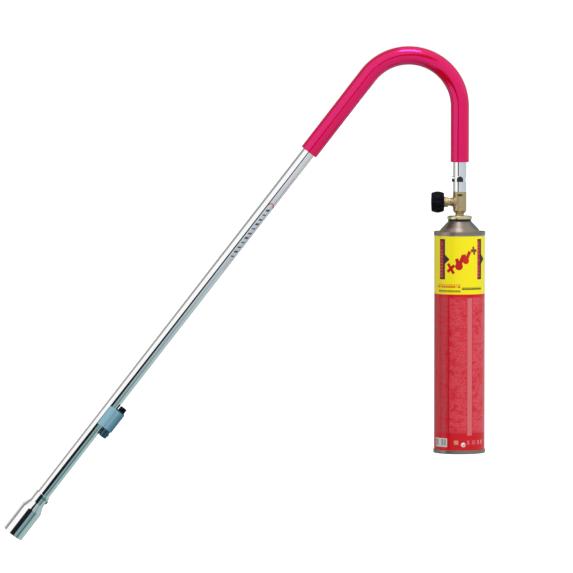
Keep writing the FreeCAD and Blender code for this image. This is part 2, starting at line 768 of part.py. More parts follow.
def make_burner():
    """Everything in and on the burner head."""
    make_burner_head()
    seat = on_lance(head_run + mm.head_screw_at, collar_radius) * Placement(Vector(), ALONG_X)
    shank = collar_radius - mm.tube_radius - 2 * mm.seat_gap
    domed_screw(
        "head_screw", seat, mm.head_screw_radius, shank, mm.head_screw_dome, mm.head_screw_rise
    )
    make_flame_holder()
    ring(
        "electrode_insulator",
        on_lance(insulator_run, mm.lead_offset),
        mm.electrode_radius + mm.seat_gap,
        mm.insulator_radius,
        0,
        mm.insulator_length,
    )
    bend = mm.electrode_bend
    reach = mm.electrode_reach
    piped(
        "electrode_rod",
        on_lance(insulator_run + mm.electrode_root, mm.lead_offset),
        [(0, 0), (0, reach, -bend), (bend, reach + bend), (bend + mm.electrode_tip, reach + bend)],
        mm.electrode_radius,
    )


def make_flame_holder():
    """A drilled brass disc that steadies the flame and carries the insulator."""
    outside = barrel_bore - mm.seat_gap
    length = mm.holder_length
    bevel = mm.holder_bevel
    body = turned(
        "flame_holder",
        on_lance(holder_run),
        [
            (0, 0),
            (outside - bevel, 0),
            (outside, bevel),
            (outside, length - bevel),
            (outside - bevel, length - bevel),
            (mm.holder_ring - mm.holder_hole - mm.holder_land, length),
            (0, length),
        ],
    )
    inner = sketch_on(body, "XY_Plane", "inner")
    circle_on(inner, 0, 0, mm.holder_pilot)
    circle_on(inner, mm.lead_offset, 0, mm.insulator_radius + mm.seat_gap)
    circle_on(inner, -mm.lead_offset, 0, mm.holder_pilot)
    circle_on(inner, 0, mm.lead_offset, mm.holder_pilot)
    circle_on(inner, 0, -mm.lead_offset, mm.holder_pilot)
    cut_through(body, inner, "inner_holes")
    outer = sketch_on(body, "XY_Plane", "outer")
    circle_on(outer, mm.holder_ring, 0, mm.holder_hole)
    hole = cut_through(body, outer, "outer_hole")
    repeated(body, [hole], mm.holder_count)
    return body


# ---------------------------------------------------------------- igniter

housing_drop = mm.tube_radius + mm.housing_radius + mm.housing_gap
button_run = mm.tube_run - mm.igniter_back
housing_run = button_run + mm.button_show
guide_run = housing_run + mm.guide_at
hammer_run = guide_run + mm.hammer_inset
anvil_run = guide_run + mm.guide_length - mm.anvil_length
crystal_run = anvil_run + mm.anvil_length
contact_run = crystal_run + mm.crystal_length
lead_run = housing_run + mm.lead_at


def make_button():
    """The hollow push button."""
    radius = mm.button_radius
    return turned(
        "igniter_button",
        on_lance(button_run, housing_drop),
        [
            (0, 0),
            (radius - mm.button_round, 0, mm.button_round),
            (radius, mm.button_round),
            (radius, mm.button_length),
            (radius - mm.button_wall, mm.button_length),
            (radius - mm.button_wall, mm.button_face),
            (0, mm.button_face),
        ],
    )


def make_housing():
    """The housing: a tube closed at its lower end, with holes for the lead and the screw."""
    length = mm.housing_length
    end = mm.housing_end
    radius = mm.housing_radius
    body = turned(
        "igniter_housing",
        on_lance(housing_run, housing_drop),
        [
            (mm.housing_bore, 0),
            (radius, 0),
            (radius, length - end, end),
            (radius - end, length),
            (0, length),
            (0, length - end),
            (mm.housing_bore, length - end),
        ],
    )
    lead_hole = Placement(Vector(0, 0, mm.lead_at.number), AGAINST_X)
    drum(body, "lead_hole", mm.lead_radius + 2 * mm.piston_gap, 2 * radius, lead_hole)
    screw_hole = Placement(Vector(0, 0, mm.screw_at.number), ALONG_X)
    drum(body, "screw_hole", mm.screw_radius + mm.seat_gap, 2 * radius, screw_hole)
    return body


def make_clip():
    """The clip: a sleeve round the housing joined by a web to a half shell under the tube."""
    body = new_body("igniter_clip", on_lance(housing_run + mm.clip_at))
    length = mm.clip_length
    middle = Placement(Vector(), Rotation())
    beside = Placement(Vector(housing_drop.number, 0, 0), Rotation())
    shell = mm.tube_radius + mm.clip_gap
    sleeve = mm.housing_radius + mm.clip_gap
    drum(body, "shell", shell + mm.clip_wall, length, middle, cut=False)
    drum(body, "sleeve", sleeve + mm.clip_ring, length, beside, cut=False)
    corner = Vector(mm.tube_radius.number / 2, -mm.clip_web.number / 2, 0)
    web = (housing_drop - mm.tube_radius / 2, mm.clip_web, length)
    block(body, "web", web, Placement(corner, Rotation()), cut=False)
    drum(body, "tube_bore", shell, length, middle)
    drum(body, "housing_bore", sleeve, length, beside)
    span = 2 * (shell + mm.clip_wall)
    corner = Vector(-(mm.clip_open + span).number, -span.number / 2, 0)
    block(body, "opening", (span, span, length), Placement(corner, Rotation()))
    return body


def make_lead():
    """The lead: out of the housing, through the tube's port and down inside to the insulator."""
    rise = housing_drop - mm.lead_offset
    down = insulator_run - lead_run
    return piped(
        "ignition_lead",
        on_lance(lead_run, housing_drop) * Placement(Vector(), AGAINST_X),
        [(0, 0), (0, rise - mm.lead_bend, -mm.lead_bend), (mm.lead_bend, rise), (down, rise)],
        mm.lead_radius,
    )


def make_igniter():
    """The piezo igniter, from its button to the lead in the lance."""
    make_button()
    make_housing()
    make_clip()
    bore = mm.housing_bore - mm.piston_gap / 2
    strike_bore = mm.guide_bore
    ring("hammer_guide", on_lance(guide_run, housing_drop), strike_bore, bore, 0, mm.guide_length)
    plain = strike_bore - mm.piston_gap
    disc("hammer", on_lance(hammer_run, housing_drop), plain, mm.hammer_length)
    fixed = strike_bore - mm.seat_gap
    disc("anvil", on_lance(anvil_run, housing_drop), fixed, mm.anvil_length - mm.seat_gap)
    crystal = mm.crystal_length - mm.seat_gap
    disc("piezo_crystal", on_lance(crystal_run, housing_drop), mm.crystal_radius, crystal)
    disc("contact_plate", on_lance(contact_run, housing_drop), bore, mm.contact_length)
    spring_start = button_run + mm.button_face + mm.spring_gap
    coiled(
        "button_spring",
        on_lance(spring_start, housing_drop),
        mm.button_spring_radius,
        mm.button_spring_wire,
        mm.button_spring_pitch,
        0,
        guide_run - spring_start - mm.spring_gap,
    )
    coiled(
        "hammer_spring",
        on_lance(spring_start, housing_drop),
        mm.hammer_spring_radius,
        mm.hammer_spring_wire,
        mm.hammer_spring_pitch,
        0,
        hammer_run - spring_start - mm.spring_gap,
    )
    under = on_lance(housing_run + mm.screw_at, housing_drop + mm.housing_radius)
    domed_screw(
        "igniter_screw",
        under * Placement(Vector(), ALONG_X),
        mm.screw_radius,
        mm.screw_shank,
        mm.screw_dome,
        mm.screw_rise,
    )
    make_lead()
    inner_end = mm.tube_radius - mm.grommet_inset - mm.grommet_length
    ring(
        "lead_grommet",
        on_lance(lead_run + mm.port_shift, inner_end) * Placement(Vector(), ALONG_X),
        mm.grommet_bore,
        mm.port_radius - mm.seat_gap,
        0,
        mm.grommet_length,
    )


def disc(label, place, radius, height):
    """A plain round piece."""
    return turned(label, place, [(0, 0), (radius, 0), (radius, height), (0, height)])


# ---------------------------------------------------------------- valve

spigot_top = valve_top + mm.spigot_length
jet_seat = spigot_top - mm.jet_length
filter_seat = jet_seat - mm.filter_length
socket_radius = mm.stub_radius + mm.thread_gap
valve_radius = mm.tube_radius + mm.valve_lip

# how far a cut runs past the face that it opens
RUN_OUT = 1.0


def make_valve_body():
    """The brass body: a leg with spigot and cartridge socket, and a side boss for the spindle."""
    body = turned(
        "valve_body",
        on_valve(),
        [
            (0, valve_bottom),
            (socket_radius + mm.foot_wall, valve_bottom),
            (valve_radius, valve_bottom + mm.valve_taper),
            (valve_radius, valve_top),
            (tube_bore - mm.seat_gap, valve_top),
            (tube_bore - mm.seat_gap, spigot_top),
            (mm.jet_bore, spigot_top),
            (mm.jet_bore, jet_seat),
            (mm.filter_radius, jet_seat),
            (mm.filter_radius, filter_seat),
            (mm.outlet_radius, filter_seat),
            (mm.outlet_radius, 0),
            (0, 0),
        ],
    )
    boss = sketch_on(body, "XZ_Plane", "boss")
    draw(
        boss,
        [
            (valve_radius / 2, 0),
            (mm.neck_reach, 0),
            (mm.neck_reach, mm.neck_radius),
            (mm.boss_end, mm.neck_radius, -mm.boss_curve),
            (mm.boss_start, mm.boss_radius),
            (valve_radius / 2, mm.boss_radius),
        ],
    )
    neck = body.newObject("PartDesign::Revolution", "valve_body_neck")
    neck.Profile = boss
    neck.ReferenceAxis = (boss, ["H_Axis"])
    neck.Angle = 360
    chamber = sketch_on(body, "XZ_Plane", "chamber")
    draw(
        chamber,
        [
            (0, 0),
            (mm.neck_reach + RUN_OUT, 0),
            (mm.neck_reach + RUN_OUT, mm.packing_radius),
            (mm.chamber_end, mm.packing_radius),
            (mm.chamber_end, mm.chamber_radius),
            (mm.chamber_start, mm.chamber_radius),
            (mm.chamber_start, mm.seat_radius),
            (0, mm.seat_radius),
        ],
    )
    bore = body.newObject("PartDesign::Groove", "valve_body_chamber_bore")
    bore.Profile = chamber
    bore.ReferenceAxis = (chamber, ["H_Axis"])
    bore.Angle = 360
    foot = Placement(Vector(0, 0, valve_bottom.number), Rotation())
    drum(body, "socket", socket_radius, mm.socket_depth, foot)
    level = Vector(mm.feed_offset.number, 0, socket_top.number)
    drum(body, "feed", mm.feed_radius, -socket_top, Placement(level, Rotation()))
    level = Vector(0, 0, socket_top.number)
    drum(body, "pin_hole", mm.pin_radius + mm.seat_gap, mm.pin_root, Placement(level, Rotation()))
    half = mm.slot_width.number / 2
    top = (valve_top - mm.slot_drop - mm.slot_height / 2).number
    inner = (valve_radius - mm.slot_depth).number
    size = (mm.slot_width, 2 * mm.slot_depth, mm.slot_height)
    block(body, "back_slot", size, Placement(Vector(-half, inner, top), Rotation()))
    outer = -inner - 2 * mm.slot_depth.number
    block(body, "front_slot", size, Placement(Vector(-half, outer, top), Rotation()))
    return body


def make_jet():
    """The screwed-in jet: shank, collar and nose with a fine orifice."""
    feed = mm.outlet_radius
    collar_end = spigot_top + mm.jet_collar_length
    tip = collar_end + mm.jet_nose
    shank = mm.jet_bore - mm.thread_slack
    return turned(
        "jet",
        on_valve(),
        [
            (feed, jet_seat + mm.seat_gap),
            (shank, jet_seat + mm.seat_gap),
            (shank, spigot_top + mm.seat_gap),
            (mm.jet_collar, spigot_top + mm.seat_gap),
            (mm.jet_collar, collar_end),
            (mm.jet_collar - feed, collar_end),
            (mm.jet_tip, tip),
            (mm.jet_hole, tip),
            (mm.jet_hole, tip - mm.jet_nose / 2),
            (feed, collar_end),
        ],
    )


def make_spindle():
    """The needle spindle: cone, thread, O-ring groove, stem and a square for the knob."""
    body = turned(
        "spindle",
        on_spindle(),
        [
            (0, mm.needle_start),
            (mm.needle_tip, mm.needle_start),
            (mm.spindle_radius, mm.needle_end),
            (mm.spindle_radius, mm.screw_start),
            (mm.chamber_radius - mm.screw_slack, mm.screw_start),
            (mm.chamber_radius - mm.screw_slack, mm.screw_end),
            (mm.spindle_radius, mm.screw_end),
            (mm.spindle_radius, mm.groove_start),
            (mm.groove_radius, mm.groove_start),
            (mm.groove_radius, mm.groove_end),
            (mm.spindle_radius, mm.groove_end),
            (mm.spindle_radius, mm.square_start),
            (0, mm.square_start),
        ],
    )
    side = mm.square_side
    corner = Vector(-side.number / 2, -side.number / 2, mm.square_start.number)
    length = mm.square_end - mm.square_start
    block(body, "square", (side, side, length), Placement(corner, Rotation()), cut=False)
    tap = Placement(Vector(0, 0, mm.tap_start.number), Rotation())
    drum(body, "tapped_hole", mm.tap_radius, mm.square_end - mm.tap_start, tap)
    return body


def make_knob():
    """The fluted knob: crowned rim, square hole, screw seat and cap recess."""
    bevel = mm.knob_chamfer
    hub = mm.spindle_radius + mm.screw_slack
    crown_start = mm.knob_start + bevel
    crown_end = mm.knob_end - bevel
    crown = bow((crown_end - crown_start) / 2, mm.knob_crown)
    square_top = mm.square_end + mm.knob_screw_slack
    body = turned(
        "knob",
        on_spindle(),
        [
            (hub, mm.knob_start),
            (mm.knob_radius - bevel, mm.knob_start),
            (mm.knob_radius, crown_start, crown),
            (mm.knob_radius, crown_end),
            (mm.knob_radius - bevel, mm.knob_end),
            (mm.cap_radius, mm.knob_end),
            (mm.cap_radius, mm.knob_end - mm.cap_depth),
            (mm.knob_screw_head + mm.knob_screw_slack, mm.knob_end - mm.cap_depth),
            (mm.knob_screw_head + mm.knob_screw_slack, mm.knob_seat),
            (mm.tap_radius + mm.thread_slack, mm.knob_seat),
            (mm.tap_radius + mm.thread_slack, square_top),
            (0, square_top),
            (0, mm.square_start),
            (hub, mm.square_start),
        ],
    )
    side = mm.square_side + 2 * mm.seat_gap
    corner = Vector(-side.number / 2, -side.number / 2, mm.square_start.number)
    block(body, "square_hole", (side, side, square_top - mm.square_start), Placement(corner, Rotation()))
    flute = sketch_on(body, "XY_Plane", "flute")
    centre = mm.knob_radius + mm.knob_crown - mm.flute_depth + mm.flute_radius
    circle_on(flute, centre, 0, mm.flute_radius)
    groove = cut_through(body, flute, "flute_cut")
    repeated(body, [groove], mm.flute_count)
    return body


def make_valve():
    """The valve body and everything in it, with its spindle and knob."""
    make_valve_body()
    make_jet()
    filter_start = filter_seat + mm.seat_gap
    filter_place = on_valve() * Placement(Vector(0, 0, filter_start.number), Rotation())
    filter_radius = mm.filter_radius - mm.seat_gap
    disc("jet_filter", filter_place, filter_radius, mm.filter_length - 2 * mm.seat_gap)
    sealed = socket_radius - mm.seat_gap
    ring("inlet_seal", on_valve(), mm.seal_radius, sealed, socket_top - mm.seal_height, socket_top)
    pin_start = socket_top - mm.pin_reach
    pin_place = on_valve() * Placement(Vector(0, 0, pin_start.number), Rotation())
    disc("inlet_pin", pin_place, mm.pin_radius, mm.pin_reach + mm.pin_root - mm.seat_gap)
    running = mm.spindle_radius + mm.thread_slack
    packing = mm.packing_radius - mm.thread_slack
    start = mm.chamber_end + mm.screw_slack
    ring("gland_packing", on_spindle(), running, packing, start, mm.neck_reach)
    make_gland_nut()
    make_spindle()
    groove = (mm.groove_start + mm.groove_end) / 2
    section = (mm.chamber_radius - mm.groove_radius) / 2 - mm.thread_slack
    seal = doc.addObject("Part::Torus", "spindle_oring")
    seal.Label = "spindle_oring"
    bind(seal, "Radius1", (mm.chamber_radius + mm.groove_radius) / 2)
    bind(seal, "Radius2", section)
    seal.Placement = on_spindle() * Placement(Vector(0, 0, groove.number), Rotation())
    make_knob()
    domed_screw(
        "knob_screw",
        on_spindle() * Placement(Vector(0, 0, mm.knob_seat.number), Rotation()),
        mm.knob_screw_shank,
        mm.knob_screw_length,
        mm.knob_screw_head,
        mm.knob_end - mm.cap_depth - mm.knob_seat - mm.screw_slack,
    )
    cap_radius = mm.cap_radius - mm.screw_slack
    low = mm.knob_end - mm.cap_depth + mm.seat_gap
    turned(
        "knob_cap",
        on_spindle(),
        [
            (0, low),
            (cap_radius, low),
            (cap_radius, mm.knob_end, bow(cap_radius, mm.cap_rise)),
            (0, mm.knob_end + mm.cap_rise),
        ],
    )


def make_gland_nut():
    """The gland nut: a cap nut with six flats over the neck."""
    thread = mm.neck_radius + mm.thread_slack
    hole = mm.spindle_radius + mm.screw_slack
    body = turned(
        "gland_nut",
        on_spindle(),
        [
            (thread, mm.nut_start),
            (mm.nut_radius, mm.nut_start),
            (mm.nut_radius, mm.nut_end),
            (hole, mm.nut_end),
            (hole, mm.nut_end - mm.nut_face),
            (thread, mm.nut_end - mm.nut_face),
        ],
    )
    corner = Vector(mm.nut_flat.number, -mm.nut_radius.number, mm.nut_start.number)
    size = (mm.nut_radius, 2 * mm.nut_radius, mm.nut_end - mm.nut_start)
    flat = block(body, "flat", size, Placement(corner, Rotation()))
    repeated(body, [flat], mm.nut_flats)
    return body


# ---------------------------------------------------------------- cartridge

can_bore = mm.can_radius - mm.can_wall
gasket_seat = stub_end - mm.gasket_sink
stem_disc_base = cup_floor + mm.stem_disc_lift


def make_can_base():
    """The base: a seam round the body's lower edge and a panel that domes inwards."""
    bevel = mm.seam_bevel
    wall = mm.can_wall
    edge = mm.base_panel_height
    slot_in = can_bore - mm.seam_gap
    slot_out = mm.can_radius + mm.seam_gap
    slot_end = mm.can_start - mm.seam_gap
    turned(
        "can_base",
        on_cartridge(),
        [
            (0, edge + mm.base_rise, -bow(mm.base_panel, mm.base_rise)),
            (mm.base_panel, edge),
            (mm.base_land, 0),
            (mm.base_seam_radius - bevel, 0),
            (mm.base_seam_radius, bevel),
            (mm.base_seam_radius, mm.base_seam_height),
            (slot_out, mm.base_seam_height),
            (slot_out, slot_end),
            (slot_in, slot_end),
            (slot_in, mm.base_seam_height),
            (slot_in - wall, mm.base_seam_height),
            (slot_in - wall, edge + 2 * wall),
            (mm.base_panel, edge + 2 * wall, bow(mm.base_panel, mm.base_rise)),
            (0, edge + 2 * wall + mm.base_rise),
        ],
    )


def make_can_dome():
    """The dome: a seam round the body's upper edge, a cone, and a bead round the opening."""
    bevel = mm.seam_bevel
    wall = mm.can_wall
    slot_in = can_bore - mm.seam_gap
    slot_out = mm.can_radius + mm.seam_gap
    slot_end = mm.can_end + mm.seam_gap
    seam_start = mm.can_end - mm.top_seam_skirt
    seam_end = mm.can_end + mm.top_seam_rise
    chuck = slot_in - wall
    turned(
        "can_dome",
        on_cartridge(),
        [
            (slot_out, seam_start),
            (mm.top_seam_radius, seam_start),
            (mm.top_seam_radius, seam_end - bevel),
            (mm.top_seam_radius - bevel, seam_end),
            (chuck + bevel, seam_end),
            (chuck, seam_end - bevel),
            (chuck - bevel, dome_foot),
            (mm.dome_edge, dome_foot),
            (mm.dome_neck, dome_top),
            (mm.dome_neck, bead_top),
            (mm.bead_inside, bead_top),
            (mm.bead_inside, bead_top - wall),
            (mm.dome_neck - wall, bead_top - wall),
            (mm.dome_neck - wall, dome_top - wall / 2),
            (mm.dome_edge - wall / 2, dome_foot - wall),
            (slot_in, dome_foot - wall),
            (slot_in, slot_end),
            (slot_out, slot_end),
        ],
    )


def make_valve_cup():
    """The valve cup: a round curl over the dome's bead, a crimped skirt and a sunk floor."""
    wall = mm.can_wall
    curl = (mm.cup_radius - mm.cup_inside) / 2
    middle = (mm.cup_radius + mm.cup_inside) / 2
    shoulder = bead_top
    skirt = bead_top - mm.cup_skirt
    floor_top = cup_floor + wall
    turned(
        "valve_cup",
        on_cartridge(),
        [
            (mm.cup_lip, skirt),
            (mm.cup_radius, skirt),
            (mm.cup_radius, shoulder, curl),
            (middle, shoulder + curl, curl),
            (mm.cup_inside, shoulder),
            (mm.cup_inside, floor_top),
            (mm.neck_hole, floor_top),
            (mm.neck_hole, cup_floor),
            (mm.cup_inside + wall, cup_floor),
            (mm.cup_inside + wall, shoulder, -(curl - wall)),
            (middle, shoulder + curl - wall, -(curl - wall)),
            (mm.cup_radius - wall, shoulder),
            (mm.cup_radius - wall, skirt + wall),
            (mm.cup_lip, skirt + wall),
        ],
    )


def make_threaded_neck():
    """The threaded neck, crimped into the cup's floor, with the thread as a row of grooves."""
    gap = mm.seat_gap
    bevel = mm.stub_chamfer
    floor_top = cup_floor + mm.can_wall + gap
    flange_top = floor_top + mm.flange_height
    through = mm.neck_hole - gap
    body = turned(
        "threaded_neck",
        on_cartridge(),
        [
            (mm.housing_inside, cup_floor - mm.crimp_height),
            (mm.crimp_radius, cup_floor - mm.crimp_height),
            (mm.crimp_radius, cup_floor - gap),
            (through, cup_floor - gap),
            (through, floor_top),
            (mm.flange_radius, floor_top),
            (mm.flange_radius, flange_top),
            (mm.stub_radius, flange_top + mm.flange_slope),
            (mm.stub_radius, stub_end - bevel),
            (mm.stub_radius - bevel, stub_end),
            (mm.stub_bore, stub_end),
            (mm.stub_bore, gasket_seat),
            (mm.housing_inside, gasket_seat),
        ],
    )
    depth = mm.thread_depth
    for turn in range(int(mm.thread_count.number)):
        level = stub_end - mm.thread_run + turn * mm.thread_pitch
        section = sketch_on(body, "XZ_Plane", f"thread_{turn}")
        clear = mm.stub_radius + depth
        draw(section, [(mm.stub_radius - depth, level), (clear, level - depth), (clear, level + depth)])
        groove = body.newObject("PartDesign::Groove", f"threaded_neck_groove_{turn}")
        groove.Profile = section
        groove.ReferenceAxis = (section, ["V_Axis"])
        groove.Angle = 360
    return body


def make_cartridge():
    """The cartridge: sheet shell, valve cup and the self-closing valve inside its neck."""
    ring("can_body", on_cartridge(), can_bore, mm.can_radius, mm.can_start, mm.can_end)
    make_can_base()
    make_can_dome()
    make_valve_cup()
    make_threaded_neck()
    gasket = bead_top + mm.gasket_gap
    sizes = (mm.gasket_inside, mm.gasket_outside, gasket, gasket + mm.gasket_height)
    ring("cup_gasket", on_cartridge(), *sizes)
    seat = gasket_seat - mm.seat_gap
    low = seat - mm.stem_gasket_height
    outside = mm.housing_inside - mm.seat_gap
    ring("stem_gasket", on_cartridge(), mm.stem_gasket_bore, outside, low, seat)
    disc_top = stem_disc_base + mm.stem_disc_height
    # the inlet pin holds the stem down, a hair below the pin's tip
    pin_tip = base_depth - mm.spindle_depth + socket_top - mm.pin_reach
    stem_top = pin_tip - mm.thread_slack
    turned(
        "valve_stem",
        on_cartridge(),
        [
            (0, stem_disc_base),
            (mm.stem_disc, stem_disc_base),
            (mm.stem_disc, disc_top),
            (mm.stem_radius, disc_top),
            (mm.stem_radius, stem_top),
            (0, stem_top),
        ],
    )
    well_top = cup_floor - mm.crimp_height - mm.seat_gap
    well_start = cup_floor - mm.stem_well_drop
    well_floor = well_start + mm.stem_well_floor
    turned(
        "valve_well",
        on_cartridge(),
        [
            (mm.stem_well_hole, well_start),
            (mm.stem_well_radius, well_start),
            (mm.stem_well_radius, well_top),
            (outside, well_top),
            (outside, low - mm.seat_gap),
            (outside - mm.stem_well_wall, low - mm.seat_gap),
            (outside - mm.stem_well_wall, well_floor),
            (mm.stem_well_hole, well_floor),
        ],
    )
    coiled(
        "stem_spring",
        on_cartridge(),
        mm.stem_spring_radius,
        mm.stem_spring_wire,
        mm.stem_spring_pitch,
        well_floor + mm.spring_gap,
        stem_disc_base - mm.spring_gap,
    )


# ---------------------------------------------------------------- build and write


def sub_parts():
    """Every sub-part of the document: the bodies and the plain primitives."""
    kinds = ("PartDesign::Body", "Part::Torus")
    return [item for item in doc.Objects if item.TypeId in kinds]


def check_document():
    """Stops if any object failed or any sub-part isn't one closed valid solid."""
    failed = [item.Name for item in doc.Objects if {"Invalid", "Error"} & set(item.State)]
    if failed:
        raise RuntimeError(f"failed objects: {failed}")
    for item in sub_parts():
        shape = item.Shape
        if shape.isNull() or not shape.isValid() or len(shape.Solids) != 1:
            raise RuntimeError(f"{item.Label} is not one valid solid")


def main():
    """Builds the document and writes a STEP file for each sub-part."""
    make_lance_tube()
    make_grip_sleeve()
    make_burner()
    make_igniter()
    make_valve()
    make_cartridge()
    doc.recompute()
    check_document()
    os.makedirs("parts", exist_ok=True)
    for item in sub_parts():
        item.Shape.exportStep(f"parts/{item.Label}.step")
    print(f"{len(sub_parts())} sub-parts written")


main()
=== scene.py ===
"""Looks of the gas lance torch: fine surfaces, finishes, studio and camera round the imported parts.

Lengths inside a shape's own profile are in millimetres; everything placed in the scene is in metres.
"""

import json
import math

import bmesh
import bpy
import numpy as np
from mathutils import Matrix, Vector


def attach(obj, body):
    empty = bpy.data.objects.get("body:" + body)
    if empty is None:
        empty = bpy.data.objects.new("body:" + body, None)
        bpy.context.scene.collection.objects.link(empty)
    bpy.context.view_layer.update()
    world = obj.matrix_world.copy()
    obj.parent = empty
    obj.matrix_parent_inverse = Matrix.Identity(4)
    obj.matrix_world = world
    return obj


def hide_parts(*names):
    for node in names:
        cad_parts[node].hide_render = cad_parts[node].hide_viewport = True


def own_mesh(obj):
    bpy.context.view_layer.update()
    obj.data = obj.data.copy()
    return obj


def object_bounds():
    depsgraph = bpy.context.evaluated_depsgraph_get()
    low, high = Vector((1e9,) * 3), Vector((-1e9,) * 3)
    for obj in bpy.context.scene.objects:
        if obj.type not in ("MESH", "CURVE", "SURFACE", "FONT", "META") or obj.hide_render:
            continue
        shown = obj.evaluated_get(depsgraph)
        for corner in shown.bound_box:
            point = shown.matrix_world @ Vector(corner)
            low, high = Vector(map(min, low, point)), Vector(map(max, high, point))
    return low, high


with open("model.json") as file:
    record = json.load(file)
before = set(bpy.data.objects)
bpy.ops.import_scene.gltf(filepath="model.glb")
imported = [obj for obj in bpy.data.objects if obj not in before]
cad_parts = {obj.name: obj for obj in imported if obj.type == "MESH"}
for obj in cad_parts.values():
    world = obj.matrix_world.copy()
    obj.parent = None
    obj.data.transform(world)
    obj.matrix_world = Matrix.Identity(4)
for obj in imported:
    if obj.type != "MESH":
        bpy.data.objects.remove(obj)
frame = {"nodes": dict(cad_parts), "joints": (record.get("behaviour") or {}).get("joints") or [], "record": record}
cad_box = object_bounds()
record = frame["record"]

MM = 0.001
FULL = 2 * math.pi

mounts = {mount["name"]: mount for mount in record["mounts"]}
joints = {joint["name"]: joint for joint in frame["joints"]}
slot_of = {part["node"]: part["material_slot"] for part in record["subparts"]}
body_of = {node: body for body, nodes in record["behaviour"]["bodies"].items() for node in nodes}


# ---------------------------------------------------------------- places

ACROSS = np.array((0.0, 1.0, 0.0))
UP = np.array((0.0, 0.0, 1.0))
LANCE_DOWN = np.array(joints["igniter_press"]["axis"])
LANCE_UNDER = np.array((-LANCE_DOWN[2], 0.0, LANCE_DOWN[0]))
CARTRIDGE_BASE = np.array(mounts["cartridge_base"]["pos_m"])
SPINDLE_CENTRE = np.array(joints["knob_turn"]["pos_m"])
SPINDLE_OUT = np.array(joints["knob_turn"]["axis"])
BEND = CARTRIDGE_BASE[0]
BEND_ANGLE = math.pi - math.atan2(-LANCE_DOWN[0], -LANCE_DOWN[2])
BEND_LENGTH = BEND * BEND_ANGLE
LANCE_START = BEND * np.array((math.cos(BEND_ANGLE), 0.0, math.sin(BEND_ANGLE) - 1))


class Axis:
    """A straight axis in the scene.

    A point is start + run * along + radius * (cos(turn) * side + sin(turn) * third), where third is
    along x side.
    """

    def __init__(self, start, along, side):
        self.start = np.asarray(start, float)
        self.along = np.asarray(along, float)
        self.side = np.asarray(side, float)
        self.third = np.cross(self.along, self.side)

    def __call__(self, run, radius, turn):
        spoke = np.multiply.outer(np.cos(turn), self.side) + np.multiply.outer(np.sin(turn), self.third)
        return self.start + run[..., None] * self.along + radius[..., None] * spoke

    def at(self, point):
        """Points given as (side, third, along) coordinates."""
        point = np.asarray(point, float)
        return self.start + point @ np.stack([self.side, self.third, self.along])

    def moved(self, side=0.0, third=0.0, along=0.0):
        """The same axis, moved by these millimetres."""
        return Axis(self.at(np.array((side, third, along)) * MM), self.along, self.side)


def along_hook(run, radius, turn):
    """Points round the bent tube's centreline.

    Run is the length from the upper end of the upright leg: below 0 down the leg, up to BEND_LENGTH
    round the bend, and past it down the lance. With angle = run / BEND kept within the bend and spare
    the run outside it, the centre is BEND * (cos, sin) + spare * (-sin, cos), and the point lies
    radius * (cos(turn) * outward + sin(turn) * Y) from it.
    """
    angle = np.clip(run / BEND, 0.0, BEND_ANGLE)
    spare = run - BEND * angle
    nought = np.zeros_like(angle)
    outward = np.stack([np.cos(angle), nought, np.sin(angle)], -1)
    ahead = np.stack([-np.sin(angle), nought, np.cos(angle)], -1)
    centre = BEND * (outward - UP) + spare[..., None] * ahead
    spoke = np.cos(turn)[..., None] * outward + np.sin(turn)[..., None] * ACROSS
    return centre + radius[..., None] * spoke


LANCE = Axis(LANCE_START, LANCE_DOWN, LANCE_UNDER)
LEG = Axis((BEND, 0.0, -BEND), -UP, (-1.0, 0.0, 0.0))
VALVE = Axis(SPINDLE_CENTRE, UP, SPINDLE_OUT)
SPINDLE = Axis(SPINDLE_CENTRE, SPINDLE_OUT, UP)
CARTRIDGE = Axis(CARTRIDGE_BASE, UP, (1.0, 0.0, 0.0))


# ---------------------------------------------------------------- surfaces

SUPPORT = 0.12


def profile(corners, longest=4.0, closed=True, steps=7):
    """A profile through (radius, run, rounding) corners in millimetres, as radius and run in metres.

    Each corner is replaced by the arc that touches both its sides, as a rational curve:
    ((1-t)^2 A + 2 s t(1-t) B + t^2 C) / ((1-t)^2 + 2 s t(1-t) + t^2), with B the corner and s the sine
    of half its angle. Rings are then added beside every bend and wherever a side is longer than longest.
    """
    corners = np.array([tuple(corner) + (0.0,) * (3 - len(corner)) for corner in corners])
    point, rounding = corners[:, :2], corners[:, 2:]
    before = np.roll(point, 1, 0) - point
    after = np.roll(point, -1, 0) - point
    reach_before = np.linalg.norm(before, axis=1, keepdims=True)
    reach_after = np.linalg.norm(after, axis=1, keepdims=True)
    before, after = before / reach_before, after / reach_after
    half = np.arccos(np.clip((before * after).sum(1, keepdims=True), -1.0, 1.0)) / 2
    cut = np.minimum(rounding / np.tan(half), 0.46 * np.minimum(reach_before, reach_after))
    if not closed:
        cut[[0, -1]] = 0.0
    t = np.linspace(0, 1, steps)[None, :, None]
    middle = 2 * np.sin(half)[:, None] * t * (1 - t)
    start, corner, end = (item[:, None] for item in (point + cut * before, point, point + cut * after))
    curve = ((1 - t) ** 2 * start + middle * corner + t**2 * end) / ((1 - t) ** 2 + middle + t**2)
    line = curve.reshape(-1, 2)
    if closed:
        line = np.vstack([line, line[:1]])
    gap = np.linalg.norm(np.diff(line, axis=0), axis=1)
    line = line[np.append(True, gap > 1e-5)]
    length = np.append(0.0, np.cumsum(np.linalg.norm(np.diff(line, axis=0), axis=1)))
    total = length[-1]
    marks = np.concatenate([length, length + SUPPORT, length - SUPPORT, np.arange(0, total, longest)])
    marks = np.unique(marks[(marks >= 0) & (marks <= total)])
    marks = marks[np.append(True, np.diff(marks) > 0.01)]
    if closed:
        marks = marks[marks < total - 0.01]
    return np.interp(marks, length, line[:, 0]) * MM, np.interp(marks, length, line[:, 1]) * MM


